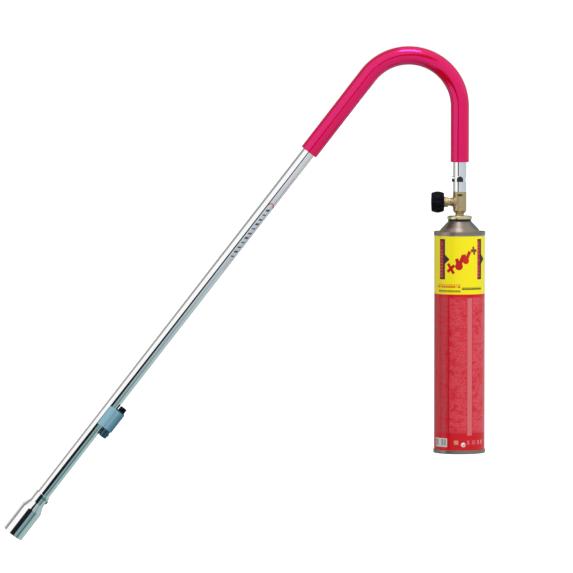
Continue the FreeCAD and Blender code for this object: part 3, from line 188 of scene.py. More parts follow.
def outwards(points, faces):
    """Points and four-cornered faces, turned round if the volume that they enclose is negative."""
    a, b, c, d = (points[faces[:, corner]] for corner in range(4))
    volume = (a * np.cross(b, c)).sum() + (a * np.cross(c, d)).sum()
    return points, faces if volume > 0 else faces[:, ::-1]


def shell(grid, closed=True):
    """A closed shell over a grid of points (row, column, xyz).

    Columns join up round the piece. Rows join up when closed; otherwise the first and the last row are
    each drawn together to their middle, which closes the ends.
    """
    if not closed:
        ends = [grid[[end]].mean(1, keepdims=True) + 0 * grid[[end]] for end in (0, -1)]
        grid = np.concatenate([ends[0], grid, ends[1]])
    rows, columns = grid.shape[:2]
    index = np.arange(rows * columns).reshape(rows, columns)
    low, high = (index, np.roll(index, -1, 0)) if closed else (index[:-1], index[1:])
    faces = np.stack([low, np.roll(low, -1, 1), np.roll(high, -1, 1), high], -1).reshape(-1, 4)
    return outwards(grid.reshape(-1, 3), faces)


def turned(way, corners, columns=96, closed=True, longest=4.0, steps=7, shape=None):
    """A profile carried round a way. shape(radius, turn), if given, changes the radius as it goes round."""
    radius, run = profile(corners, longest, closed, steps)
    turn = np.arange(columns) * (FULL / columns)
    radius, run, turn = np.broadcast_arrays(radius[:, None], run[:, None], turn[None, :])
    if shape:
        radius = shape(radius / MM, turn) * MM
    return shell(way(run, radius, turn), closed)


def prism(axis, outline, low, high):
    """A closed outline of (side, third) points in millimetres, carried along an axis from low to high."""
    outline = np.asarray(outline, float)
    rows = [np.column_stack([outline, np.full(len(outline), level)]) for level in (low, high)]
    return shell(axis.at(np.stack(rows) * MM), closed=False)


def net(axis, distance, low, high, cell):
    """The surface where distance(x, y, z) is nought, inside a box in an axis's coordinates, in millimetres.

    One vertex stands in each cell that the surface crosses, at the mean of its crossings of the cell's
    edges, and one face goes round each crossed edge. The vertices are then drawn onto the surface:
    p - f(p) * grad f(p) / |grad f(p)|^2, twice.
    """
    lines = [np.arange(a, b + cell, cell) for a, b in zip(low, high)]
    grid = np.stack(np.meshgrid(*lines, indexing="ij"), -1)
    value = distance(*np.moveaxis(grid, -1, 0))
    cells = tuple(size - 1 for size in value.shape)
    total, count = np.zeros(cells + (3,)), np.zeros(cells)
    crossings = []
    for way in range(3):
        first, second = (np.moveaxis(item, way, 0) for item in (value, grid))
        crossed = (first[:-1] < 0) != (first[1:] < 0)
        share = first[:-1] / np.where(crossed, first[:-1] - first[1:], 1.0)
        place = second[:-1] + share[..., None] * (second[1:] - second[:-1])
        weighed = np.where(crossed[..., None], place, 0.0)
        into_total, into_count = np.moveaxis(total, way, 0), np.moveaxis(count, way, 0)
        for b in (0, 1):
            for c in (0, 1):
                span = (slice(None), slice(b, b + into_count.shape[1]), slice(c, c + into_count.shape[2]))
                into_total += weighed[span]
                into_count += crossed[span]
        crossings.append((crossed, first[:-1] < 0))
    used = count > 0
    number = np.full(cells, -1)
    number[used] = np.arange(used.sum())
    points = total[used] / count[used][:, None]
    faces = []
    for way, (crossed, inside) in enumerate(crossings):
        ids = np.moveaxis(number, way, 0)
        a, b, c = np.nonzero(crossed[:, 1:-1, 1:-1])
        quad = np.stack([ids[a, b, c], ids[a, b + 1, c], ids[a, b + 1, c + 1], ids[a, b, c + 1]], -1)
        turn_round = inside[a, b + 1, c + 1] ^ (way == 1)
        faces.append(np.where(turn_round[:, None], quad, quad[:, ::-1]))
    nudge = 0.01
    for _ in range(2):
        here = distance(*points.T)
        slope = np.stack(
            [(distance(*(points + nudge * step).T) - here) / nudge for step in np.eye(3)], -1
        )
        points = points - here[:, None] * slope / ((slope**2).sum(1, keepdims=True) + 1e-9)
    return outwards(axis.at(points * MM), np.concatenate(faces))


def joined(a, b, blend):
    """Two distances as one body, with a fillet about as wide as blend between them."""
    share = np.clip(0.5 + (b - a) / (2 * blend), 0.0, 1.0)
    return b + (a - b) * share - blend * share * (1 - share)


def taken(a, b, blend):
    """What is in a but not in b, with the edge between them rounded by about blend."""
    return -joined(-a, b, blend)


def within(a, b, blend):
    """What is in both a and b, with the edge between them rounded by about blend."""
    return -joined(-a, -b, blend)


# ---------------------------------------------------------------- finishes


class Value:
    """A number that varies over a surface. Arithmetic on it adds Math nodes."""

    def __init__(self, paint, socket):
        self.paint, self.socket = paint, socket

    def math(self, operation, *others, flip=False):
        terms = list(others) + [self] if flip else [self] + list(others)
        return self.paint.node("ShaderNodeMath", {"operation": operation}, dict(enumerate(terms)))

    def __add__(self, other):
        return self.math("ADD", other)

    def __sub__(self, other):
        return self.math("SUBTRACT", other)

    def __rsub__(self, other):
        return self.math("SUBTRACT", other, flip=True)

    def __mul__(self, other):
        return self.math("MULTIPLY", other)

    def __truediv__(self, other):
        return self.math("DIVIDE", other)

    def __neg__(self):
        return self * -1.0

    def __abs__(self):
        return self.math("ABSOLUTE")

    def __mod__(self, period):
        return self.math("FLOORED_MODULO", period)

    def __lt__(self, other):
        return self.math("LESS_THAN", other)

    def __gt__(self, other):
        return self.math("GREATER_THAN", other)

    def least(self, other):
        return self.math("MINIMUM", other)

    def most(self, other):
        return self.math("MAXIMUM", other)

    def floor(self):
        return self.math("FLOOR")

    def clamp(self):
        return self.math("MAXIMUM", 0.0).math("MINIMUM", 1.0)

    def root(self):
        return self.math("SQRT")

    __radd__ = __add__
    __rmul__ = __mul__


class Paint:
    """A node tree being written."""

    def __init__(self, tree):
        self.tree = tree
        tree.nodes.clear()

    def node(self, kind, settings=None, inputs=None, output=0):
        """Adds a node, sets its settings, then its inputs from numbers, colours or Values."""
        made = self.tree.nodes.new(kind)
        for key, setting in (settings or {}).items():
            if key == "stops":
                ramp = made.color_ramp.elements
                for place, _ in setting[1:-1]:
                    ramp.new(place)
                for element, (_, colour) in zip(ramp, setting):
                    element.color = tuple(colour) + (1.0,)
            else:
                setattr(made, key, setting)
        for key, value in (inputs or {}).items():
            socket = made.inputs[key]
            if isinstance(value, Value):
                self.tree.links.new(value.socket, socket)
            elif socket.type == "RGBA" and len(value) == 3:
                socket.default_value = tuple(value) + (1.0,)
            else:
                socket.default_value = value
        return Value(self, made.outputs[output]) if len(made.outputs) else made

    def place(self):
        """The point on the piece, in metres."""
        return self.node("ShaderNodeTexCoord", output=3)

    def parts_of(self, vector):
        """A vector's three parts."""
        return [self.node("ShaderNodeSeparateXYZ", None, {0: vector}, output=part) for part in range(3)]

    def along(self, point, start, direction):
        """How far a point lies from start in a direction, in millimetres."""
        moved = self.node(
            "ShaderNodeVectorMath", {"operation": "SUBTRACT"}, {0: point, 1: tuple(start)}
        )
        return self.node(
            "ShaderNodeVectorMath",
            {"operation": "DOT_PRODUCT"},
            {0: moved, 1: tuple(np.asarray(direction, float) / MM)},
            output=1,
        )

    def noise(self, vector, scale, detail=3.0, roughness=0.55, stretch=None):
        """Smooth noise from 0 to 1, with scale in cycles per metre."""
        if stretch is not None:
            vector = self.node("ShaderNodeVectorMath", {"operation": "MULTIPLY"}, {0: vector, 1: stretch})
        return self.node(
            "ShaderNodeTexNoise", None,
            {"Vector": vector, "Scale": scale, "Detail": detail, "Roughness": roughness},
        )

    def mix(self, share, first, second):
        """Two colours, mixed by share."""
        return self.node(
            "ShaderNodeMix",
            {"data_type": "RGBA", "clamp_factor": True},
            {0: share, 6: first, 7: second},
            output=2,
        )

    def bump(self, height, strength, distance):
        """A normal from a height."""
        return self.node(
            "ShaderNodeBump", None, {"Height": height, "Strength": strength, "Distance": distance}
        )


class Finish(Paint):
    """A material being written, which ends in a Principled shader."""

    def __init__(self, name):
        self.material = bpy.data.materials.new(name)
        self.material.use_nodes = True
        super().__init__(self.material.node_tree)

    def done(self, **inputs):
        """Adds the shader with these inputs, where Base_Color means Base Color, and ends the material."""
        named = {key.replace("_", " "): value for key, value in inputs.items()}
        shader = self.node("ShaderNodeBsdfPrincipled", None, named)
        self.node("ShaderNodeOutputMaterial", None, {0: shader})
        return self.material


def tone(red, green, blue):
    """A colour given as 0 to 255 display values, as linear light."""
    share = np.array((red, green, blue)) / 255.0
    return tuple(np.where(share <= 0.04045, share / 12.92, ((share + 0.055) / 1.055) ** 2.4))


def chrome_plate(name, printed=False):
    """Polished chrome with faint wiping marks; printed adds a row of slanted marks down the lance."""
    paint = Finish(name)
    point = paint.place()
    haze = paint.noise(point, 60.0, 4.0)
    wipe = paint.noise(point, 900.0, 2.0, stretch=(1.0, 1.0, 0.12))
    colour = paint.mix(haze, (0.86, 0.87, 0.88), (0.94, 0.94, 0.945))
    rough = 0.035 + haze * 0.04 + (wipe > 0.66) * 0.02
    metal = 1.0
    if printed:
        run = paint.along(point, LANCE_START, LANCE_DOWN)
        under = paint.along(point, LANCE_START, LANCE_UNDER)
        front = paint.along(point, LANCE_START, -ACROSS)
        lean = run + under * 0.55
        ticks = (abs(lean % 7.4 - 3.4) - 0.9 - (lean % 22.2 > 11.0) * 0.6) < 0.0
        band = (abs(under - 4.4) - 2.0) < 0.0
        spell = (abs(run - 252.0) - 39.0) < 0.0
        shown = front > 0.0
        mark = ticks * band * spell * shown
        arc = abs(((run - 209.0) * (run - 209.0) + (under - 4.0) * (under - 4.0)).root() - 3.4) - 0.6
        red_arc = (arc < 0.0) * (run < 210.0) * shown
        colour = paint.mix(mark, colour, tone(60, 74, 84))
        colour = paint.mix(red_arc, colour, tone(190, 30, 60))
        printed_all = mark.most(red_arc)
        metal = 1.0 - printed_all
        rough = rough + printed_all * 0.3
    normal = paint.bump(wipe, 0.03, 0.0002)
    return paint.done(Base_Color=colour, Metallic=metal, Roughness=rough, Normal=normal)


def grip_vinyl():
    """Glossy dipped vinyl: crimson with a violet sheen, a slow orange-peel wave and faint clouds."""
    paint = Finish("crimson_vinyl")
    point = paint.place()
    cloud = paint.noise(point, 45.0, 3.0)
    peel = paint.noise(point, 420.0, 2.0)
    colour = paint.mix(cloud, tone(214, 2, 18), tone(222, 4, 26))
    rough = 0.11 + cloud * 0.06
    normal = paint.bump(peel, 0.06, 0.0005)
    return paint.done(
        Base_Color=colour, Roughness=rough, Normal=normal, IOR=1.95, Specular_IOR_Level=1.0,
        Specular_Tint=(0.90, 0.10, 0.75, 1.0), Coat_Weight=0.1, Coat_Roughness=0.1,
    )


def brass(name, axis=None, slots=False):
    """Satin brass: fine turning rings round an axis, a grainy skin and brown stains; with slots, painted shade in
    the valve's milled slots and socket.
    """
    paint = Finish(name)
    point = paint.place()
    stain = paint.noise(point, 130.0, 5.0, 0.6)
    grain = paint.noise(point, 1500.0, 3.0)
    colour = paint.mix(stain, (0.66, 0.50, 0.27), (0.50, 0.38, 0.20))
    colour = paint.mix(((stain - 0.56) * 5.0).clamp() * 0.55, colour, (0.20, 0.13, 0.06))
    if slots:
        across = paint.along(point, VALVE.start, VALVE.side)
        front = paint.along(point, VALVE.start, VALVE.third)
        level = paint.along(point, VALVE.start, VALVE.along)
        around = (across * across + front * front).root()
        # painted shade: the milled slots are darkened in the colour, as shade in a recess
        deep = (around < 8.45) * (abs(level - 8.95) < 1.25) * (abs(across) < 3.35)
        colour = paint.mix(deep * 0.9, colour, (0.035, 0.028, 0.012))
        # painted shade: the foot round the cartridge's socket and the socket's inside are darkened
        inside = (around < 6.5) * (level < -12.0)
        colour = paint.mix(inside * 0.8, colour, (0.05, 0.03, 0.02))
    rough = 0.30 + grain * 0.12 + stain * 0.06
    height = grain
    if axis is not None:
        rings = paint.along(point, axis.start, axis.along)
        height = grain * 0.6 + paint.node("ShaderNodeMath", {"operation": "SINE"}, {0: rings * 21.0}) * 0.5
    normal = paint.bump(height, 0.12, 0.0002)
    return paint.done(Base_Color=colour, Metallic=1.0, Roughness=rough, Normal=normal)


def moulded(name, first, second, rough=0.25, coat=0.0, grain=0.1, sheen=0.5, pale=None):
    """Moulded plastic or rubber: two near tones in slow clouds with a fine grain; pale, if given, is a painted
    highlight that lightens it near the lance.
    """
    paint = Finish(name)
    point = paint.place()
    cloud = paint.noise(point, 90.0, 3.0)
    fine = paint.noise(point, 700.0, 3.0)
    colour = paint.mix(cloud, first, second)
    if pale:
        # painted highlight: the side near the lance is made paler, as if lit from there
        under = paint.along(point, LANCE_START, LANCE_UNDER)
        colour = paint.mix(((20.0 - under) / 14.0).clamp(), colour, pale)
    roughness = rough + fine * 0.12 + cloud * 0.05
    normal = paint.bump(fine, grain, 0.0003)
    return paint.done(
        Base_Color=colour, Roughness=roughness, Normal=normal, Specular_IOR_Level=sheen,
        Coat_Weight=coat, Coat_Roughness=0.1,
    )


def steel(name, first, second, rough=0.25):
    """Bright steel with fine drawing lines and darker clouds."""
    paint = Finish(name)
    point = paint.place()
    cloud = paint.noise(point, 220.0, 4.0)
    lines = paint.noise(point, 2600.0, 2.0, stretch=(1.0, 1.0, 0.25))
    colour = paint.mix(cloud, first, second)
    roughness = rough + lines * 0.14
    normal = paint.bump(lines, 0.08, 0.0002)
    return paint.done(Base_Color=colour, Metallic=1.0, Roughness=roughness, Normal=normal)


def lacquer(name, first, second, rough, groove=None):
    """Lacquered tinplate: a warm skin over rolled metal, with painted shade, a near-black ring, in the groove
    between two heights.
    """
    paint = Finish(name)
    point = paint.place()
    cloud = paint.noise(point, 55.0, 4.0, 0.6)
    rolled = paint.noise(point, 1200.0, 2.0, stretch=(1.0, 1.0, 4.0))
    colour = paint.mix(cloud, first, second)
    if groove:
        # painted shade: a near-black ring in the groove under the cup's rim
        high = paint.along(point, CARTRIDGE_BASE, UP)
        low, top = groove
        colour = paint.mix(((high - low) / 1.6).clamp() * (high < top), colour, (0.018, 0.026, 0.022))
    roughness = rough + cloud * 0.1 + rolled * 0.06
    normal = paint.bump(rolled, 0.06, 0.0003)
    return paint.done(Base_Color=colour, Metallic=0.9, Roughness=roughness, Normal=normal)


# the printed sheet's radius in millimetres
LABEL_RADIUS = 32.5


def label_print():
    """The cartridge's printed sheet: a yellow band above a red one, with plain shapes and dash rows.

    Places on it are wide, the millimetres round the body from the front to the right, and high, the
    millimetres above its base. The print repeats on the back.
    """
    paint = Finish("label_print")
    point = paint.place()
    right = paint.along(point, CARTRIDGE_BASE, (1.0, 0.0, 0.0))
    front = paint.along(point, CARTRIDGE_BASE, -ACROSS)
    high = paint.along(point, CARTRIDGE_BASE, UP)
    girth = FULL * LABEL_RADIUS
    half_girth = girth / 2
    angle = paint.node("ShaderNodeMath", {"operation": "ARCTAN2"}, {0: right, 1: front})
    wide = (angle * LABEL_RADIUS + girth / 4) % half_girth - girth / 4

    def bar(x, y, half_x, half_y, degrees=0.0):
        """The distance outside a turned bar."""
        c, s = math.cos(math.radians(degrees)), math.sin(math.radians(degrees))
        u = abs(wide * c + high * s - (x * c + y * s)) - half_x
        v = abs(high * c - wide * s - (y * c - x * s)) - half_y
        return u.most(v)

    def disc(x, y, radius):
        """The distance outside a disc."""
        u, v = wide - x, high - y
        return (u * u + v * v).root() - radius

    def ink(distance, soft=0.25):
        """How much ink lies where a distance is below nought."""
        return (0.5 - distance / soft).clamp()

    def cells(width, height, salt):
        """A random number for each cell of a grid of dashes."""
        place = paint.node(
            "ShaderNodeCombineXYZ", None,
            {0: (wide / width).floor(), 1: (high / height).floor(), 2: salt},
        )
        return paint.node("ShaderNodeTexWhiteNoise", {"noise_dimensions": "3D"}, {0: place})

    def words(x, y, half_x, half_y, width, height, salt, fill=0.72):
        """Rows of dashes inside a bar."""
        rows = ink(abs(high % height - height / 2) - height * 0.27, 0.2)
        dashes = ink(abs(wide % width - width / 2) - width * 0.40, 0.2)
        return ink(bar(x, y, half_x, half_y)) * rows * dashes * (cells(width, height, salt) < fill)

    border = 204.6
    worn = paint.noise(point, 38.0, 4.0)
    yellow = paint.mix(worn, tone(255, 236, 0), tone(255, 244, 4))
    red = paint.mix(worn, tone(206, 8, 30), tone(214, 4, 26))

    # yellow band: banners with a pointed tab, a rising motif and two rows of dashes
    colour = yellow
    for middle, slim in ((-25.4, 1.0), (27.6, 0.85)):
        outline = bar(middle, 249.4, 4.4 * slim, 25.8)
        tip = abs(high - 249.4) + (wide - middle - 4.2 * slim) * 0.9 - 6.2
        tab = tip.most(-(wide - middle - 3.0))
        banner = outline.least(tab)
        core = bar(middle - 1.2, 249.4, 2.9 * slim, 23.8)
        colour = paint.mix(ink(banner), colour, tone(40, 0, 6))
        colour = paint.mix(ink(core), colour, tone(170, 6, 40))
        inner = words(middle - 1.6, 249.4, 2.0 * slim, 23.0, 2.3, 4.1, 3.0 + slim, 0.8)
        colour = paint.mix(inner * 0.5, colour, tone(236, 120, 150))

    def flame(x, y, size):
        """A solid flame: a round foot drawn up into two leaning tongues."""
        foot = disc(x, y, size)
        tall = bar(x + size * 0.55, y + size * 1.3, size * 0.52, size * 1.7, -24.0)
        short = bar(x - size * 0.3, y + size * 0.8, size * 0.45, size * 1.2, 14.0)
        return foot.least(tall).least(short)

    cross = bar(-12.6, 237.6, 1.9, 7.6, 32.0).least(bar(-12.6, 237.6, 1.9, 6.4, -48.0))
    star = bar(18.0, 260.4, 4.4, 1.8).least(bar(18.0, 260.4, 1.4, 5.4, 12.0))
    colour = paint.mix(ink(cross.least(flame(-2.0, 240.6, 5.0))), colour, tone(196, 0, 14))
    colour = paint.mix(ink(flame(7.0, 247.6, 4.2)), colour, tone(204, 30, 12))
    colour = paint.mix(ink(star), colour, tone(150, 60, 50))
    for number, (x, y, half_x, half_y, tint) in enumerate((
        (-17.0, 215.4, 17.0, 2.4, tone(222, 90, 12)),
        (-16.0, 208.4, 16.0, 1.5, tone(96, 60, 8)),
        (16.5, 212.2, 15.0, 1.9, tone(58, 60, 14)),
    )):
        mark = words(x, y, half_x, half_y, 3.3 - 0.4 * number, 2 * half_y + 0.01, 11.0 + number, 0.9)
        solid = ink(bar(x, y, half_x, half_y)) * 0.35
        colour = paint.mix(mark.most(solid), colour, tint)

    # red band: columns of fine dashes, a divider, a pale column and the strip of signs at its foot
    below = red
    fine = paint.noise(point, 1500.0, 2.0)
    paragraph = paint.noise(point, 95.0, 3.0, 0.5, stretch=(1.0, 1.0, 1.5))
    for number, (low, top, shade, fill) in enumerate((
        (-52.0, -16.6, tone(190, 74, 88), 0.50),
        (-14.4, 8.6, tone(230, 96, 112), 0.62),
        (16.4, 52.0, tone(232, 104, 120), 0.70),
    )):
        middle, half_x = (low + top) / 2, (top - low) / 2
        text = words(middle, 114.0, half_x, 86.0, 1.55, 1.7, 20.0 + number, fill) * 0.75
        breaks = (abs((high + 17.0 * number) % 43.0 - 3.0) - 1.5) > 0.0
        heavy = ((paragraph - 0.36) * 7.0).clamp() * 0.75 + 0.25
        below = paint.mix(text * breaks * heavy, below, shade)
        veil = ink(bar(middle, 114.0, half_x, 87.0)) * 0.26 * heavy
        below = paint.mix(veil, below, shade)
    pale = ink(bar(12.4, 112.0, 3.2, 88.0)) * (0.45 + fine * 0.45)
    below = paint.mix(pale, below, tone(222, 130, 136))
    below = paint.mix(ink(bar(-15.5, 104.0, 0.55, 97.0)), below, tone(196, 0, 22))
    code = bar(-28.5, 14.6, 11.0, 5.6)
    below = paint.mix(ink(code), below, tone(214, 214, 206))
    stripes = ink(bar(-28.5, 14.8, 9.4, 4.2)) * (cells(0.62, 400.0, 5.0) < 0.52)
    below = paint.mix(stripes, below, tone(36, 66, 66))
    below = paint.mix(ink(disc(4.0, 12.2, 2.9)), below, tone(246, 238, 232))
    below = paint.mix(ink(bar(4.6, 11.6, 1.9, 0.7, 35.0)), below, tone(120, 110, 108))
    for x, half_x, tint in ((-5.2, 2.9, tone(236, 176, 122)), (10.6, 1.6, tone(226, 120, 128)),
                            (18.4, 2.6, tone(224, 106, 118)), (26.0, 1.4, tone(240, 150, 156)),
                            (32.0, 1.2, tone(226, 190, 188))):
        below = paint.mix(words(x, 15.0, half_x, 2.6, 0.9, 1.3, 40.0, 0.85), below, tint)
        below = paint.mix(ink(bar(x, 15.0, half_x, 2.6)) * 0.35, below, tint)

    colour = paint.mix(ink(high - border, 0.4), colour, below)
    bare = ink(278.6 - high, 0.4)
    colour = paint.mix(bare, colour, tone(176, 168, 140))
    roughness = 0.26 + fine * 0.05 + bare * 0.05
    peel = paint.noise(point, 260.0, 2.0)
    normal = paint.bump(peel, 0.05, 0.0005)
    return paint.done(Base_Color=colour, Roughness=roughness, Normal=normal, Metallic=bare * 0.6,
                      Specular_IOR_Level=0.3, Coat_Weight=0.12, Coat_Roughness=0.1)


# heights on the cartridge of the painted shade in the groove under its cup
NECK_GROOVE_SHADE = (296.0, 301.0)
finishes = {
    "chrome_tube": chrome_plate("printed_chrome", printed=True),
    "burner_chrome": chrome_plate("burner_chrome"),
    "grip_vinyl": grip_vinyl(),
    "brass": brass("satin_brass"),
    "knob_black": moulded(
        "black_moulding", (0.001, 0.0015, 0.003), (0.003, 0.004, 0.007), 0.3, sheen=0.08
    ),
    "steel": steel("bright_steel", (0.62, 0.63, 0.65), (0.48, 0.49, 0.51)),
    "spring_steel": steel("spring_wire", (0.36, 0.37, 0.39), (0.24, 0.25, 0.27), 0.3),
    "can_print": label_print(),
    "can_lacquer": lacquer(
        "warm_lacquer", tone(160, 150, 138), tone(132, 122, 112), 0.24, NECK_GROOVE_SHADE
    ),
    "cup_gold": lacquer("gold_lacquer", tone(232, 222, 184), tone(206, 192, 146), 0.16),
    # the pale tone is a painted highlight on the clip's side near the lance
    "clip_blue": moulded(
        "teal_moulding_painted_highlight", tone(36, 96, 126), tone(48, 110, 138), 0.16, 0.5, 0.04, 0.7, tone(150, 202, 218)
    ),
    "housing_blue": moulded("deep_blue_moulding", tone(12, 58, 78), tone(20, 72, 92), 0.16, 0.4),
    # painted shadow: a near-black finish for the inside of the upright leg
    "bore_shadow": moulded("painted_bore_shadow", (0.010, 0.011, 0.012), (0.022, 0.022, 0.022), 0.7),
    "inner_plastic": moulded("natural_plastic", tone(214, 210, 198), tone(196, 190, 176), 0.35),
    "seal_rubber": moulded("seal_rubber", (0.012, 0.012, 0.012), (0.03, 0.03, 0.03), 0.6, 0.0, 0.2),
    "ceramic": moulded("glazed_ceramic", tone(236, 230, 216), tone(222, 214, 198), 0.12, 0.6, 0.03),
    "lead_silicone": moulded("lead_silicone", tone(150, 34, 30), tone(132, 26, 24), 0.45, 0.0, 0.08),
}
for node, made in frame["nodes"].items():
    made.data.materials.clear()
    made.data.materials.append(finishes[slot_of[node]])


# ---------------------------------------------------------------- pieces

SHARP = math.radians(38)


def piece(name, node, *shells, cutters=(), finish=None):
    """One finished object made of shells, less the cutters, standing for a CAD node on the node's body."""
    offset = np.cumsum([0] + [len(points) for points, _ in shells])
    points = np.concatenate([points for points, _ in shells])
    faces = np.concatenate([faces + start for (_, faces), start in zip(shells, offset)])
    made = bpy.data.objects.new(name, fresh_mesh(name, points, faces))
    bpy.context.scene.collection.objects.link(made)
    if cutters:
        cut(made, cutters)
    made.data.shade_smooth()
    made.data.set_sharp_from_angle(angle=SHARP)
    made.data.materials.clear()
    made.data.materials.append(finish or finishes[slot_of[node]])
    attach(made, body_of[node])
    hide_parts(node)
    return made


def fresh_mesh(name, points, faces):
    """A mesh with its poles merged."""
    mesh = bpy.data.meshes.new(name)
    mesh.from_pydata(points.tolist(), [], faces.tolist())
    merged = bmesh.new()
    merged.from_mesh(mesh)
    bmesh.ops.remove_doubles(merged, verts=merged.verts, dist=2e-7)
    merged.to_mesh(mesh)
    merged.free()
    return mesh


def cut(made, cutters):
    """Takes the cutters out of a piece."""
    tools = []
    for number, (points, faces) in enumerate(cutters):
        name = f"{made.name}_cutter_{number}"
        tool = bpy.data.objects.new(name, fresh_mesh(name, points, faces))
        bpy.context.scene.collection.objects.link(tool)
        modifier = made.modifiers.new(name, "BOOLEAN")
        modifier.operation, modifier.solver, modifier.object = "DIFFERENCE", "EXACT", tool
        tools.append(tool)
    bpy.context.view_layer.update()
    shaped = made.evaluated_get(bpy.context.evaluated_depsgraph_get())
    mesh = bpy.data.meshes.new_from_object(shaped)
    made.modifiers.clear()
    made.data = mesh
    for tool in tools:
        bpy.data.objects.remove(tool)


# the bent tube, its air inlets and their pushed-in tongues
TUBE_RADIUS, TUBE_WALL = 8.5, 1.0
TUBE_FOOT, TUBE_RUN = 109.2, 692.0
INLET_FOOT, INLET_HALF, INLET_SIDE, INLET_RISE = 96.2, 4.0, 3.5, 3.5
TONGUE_HALF, TONGUE_SIDE, TONGUE_RISE, TONGUE_TILT = 3.65, 1.9, 2.6, math.radians(24)


def arch(half, side, rise, steps=15):
    """Half widths and heights up an arch: straight sides, then a circular arc to its crown."""
    radius = (half**2 + rise**2) / (2 * rise)
    height = side + rise * np.sin(np.linspace(0, math.pi / 2, steps))
    width = np.sqrt(np.maximum(radius**2 - (height - side + radius - rise) ** 2, 0.0))
    return np.append(half, width), np.append(0.0, height)


def lance_tube():
    """The chrome tube with four air inlets."""
    end = BEND_LENGTH / MM + TUBE_RUN
    inside = TUBE_RADIUS - TUBE_WALL
    tube = turned(
        along_hook,
        [
            (TUBE_RADIUS, -TUBE_FOOT, 0.3), (TUBE_RADIUS, end, 0.3),
            (inside, end, 0.3), (inside, -TUBE_FOOT, 0.3),
        ],
        columns=88,
        longest=2.6,
    )
    shells, cutters = [tube], []
    width, height = arch(INLET_HALF, INLET_SIDE, INLET_RISE)
    outline = np.concatenate([np.column_stack([-height, width]), np.column_stack([-height, -width])[::-1]])
    outline = outline[np.append(True, np.linalg.norm(np.diff(outline, axis=0), axis=1) > 1e-6)]
    for quarter in range(4):
        out = math.cos(quarter * FULL / 4) * LEG.side + math.sin(quarter * FULL / 4) * LEG.third
        hole = Axis(LEG.at((0, 0, INLET_FOOT * MM)), out, LEG.along)
        cutters.append(prism(hole, outline, inside - 1.5, TUBE_RADIUS + 1.5))
        shells.append(tongue(out))
    made = piece("chrome_lance", "lance_tube", *shells, cutters=cutters)
    # painted shadow inside the upright leg
    paint_bore_shadow(made)
    return made


# how far from the leg's axis, in millimetres, its painted shadow lining reaches, tongues included
BORE_SHADOW_REACH = 14.0


def paint_bore_shadow(made):
    """Gives the faces of the upright leg that look at its axis a dull near-black lining: painted shadow inside the
    tube.
    """
    made.data.materials.append(finishes["bore_shadow"])
    count = len(made.data.polygons)
    centre, normal = np.empty(count * 3), np.empty(count * 3)
    made.data.polygons.foreach_get("center", centre)
    made.data.polygons.foreach_get("normal", normal)
    centre, normal = centre.reshape(-1, 3), normal.reshape(-1, 3)
    out = (centre - LEG.start) * (1.0, 1.0, 0.0)
    outward = (out * normal).sum(1) / (np.linalg.norm(out, axis=1) + 1e-9)
    near = (np.linalg.norm(out, axis=1) < BORE_SHADOW_REACH * MM) & (centre[:, 2] < -BEND)
    made.data.polygons.foreach_set("material_index", (near & (outward < -0.4)).astype(int))
    made.data.update()


def tongue(out):
    """A tongue: the tube's wall over a small arch, tilted inwards about its lower edge.

    Before tilting, a point at height h and share u of the half width lies at angle u * width(h) / radius
    round the tube; then it turns by the tilt in the plane of out and up.
    """
    width, height = arch(TONGUE_HALF, TONGUE_SIDE, TONGUE_RISE, 12)
    share = np.linspace(-1, 1, 13)
    loops = []
    for radius, order in ((TUBE_RADIUS, share), (TUBE_RADIUS - TUBE_WALL, share[::-1])):
        turn = order[None, :] * width[:, None] * 0.999 / TUBE_RADIUS
        depth = radius * np.cos(turn) - TUBE_RADIUS
        beside = radius * np.sin(turn)
        rise = height[:, None] + 0 * turn - 0.3
        loops.append(np.stack([
            depth * math.cos(TONGUE_TILT) - rise * math.sin(TONGUE_TILT),
            beside,
            rise * math.cos(TONGUE_TILT) + depth * math.sin(TONGUE_TILT),
        ], -1))
    grid = np.concatenate(loops, 1)
    hinge = Axis(LEG.at((0, 0, INLET_FOOT * MM)) + out * TUBE_RADIUS * MM, UP, out)
    return shell(hinge.at(grid * MM), closed=False)


def grip_sleeve():
    """The vinyl sleeve over the bend, with soft ends."""
    low, high = -71.0, BEND_LENGTH / MM + 124.4
    outside, inside = 11.75, TUBE_RADIUS + 0.03
    corners = [(outside, low, 0.9), (outside, high, 0.9), (inside, high, 0.3), (inside, low, 0.3)]
    return piece("vinyl_grip", "grip_sleeve", turned(along_hook, corners, columns=112, longest=2.0))


# burner
HEAD = LANCE.moved(along=681.0)


def burner_head():
    """Collar, flared cone and barrel, with a milled slot in the collar."""
    body = turned(
        HEAD,
        [
            (8.53, 0, 0.2), (9.85, 0, 0.45), (9.85, 13.5, 1.4), (14.0, 24.1, 3.5), (14.0, 64.6, 0.35),
            (13.2, 64.6, 0.3), (13.2, 55.6, 0.1), (13.0, 55.6, 0.1), (13.0, 24.6, 2.5), (7.5, 12.0, 0.4),
            (7.5, 11.03, 0.05), (8.53, 11.03, 0.05),
        ],
        columns=128,
        longest=3.0,
    )
    turn = math.radians(28 - 90)
    side = math.cos(turn) * LANCE_UNDER + math.sin(turn) * ACROSS
    slot = Axis(HEAD.at((0, 0, 2.6 * MM)), LANCE_DOWN, side)
    outline = [(8.85, -3.5), (11.0, -3.5), (11.0, 3.5), (8.85, 3.5)]
    hole = Axis(HEAD.at((0, 0, 6.2 * MM)), LANCE_UNDER, LANCE_DOWN)
    drilled = turned(hole, [(0, 7.5), (1.53, 7.5), (1.53, 12), (0, 12)], columns=32, closed=False)
    cutters = [prism(slot, outline, 0.0, 2.4), drilled]
    return piece("chrome_burner", "burner_head", body, cutters=cutters)


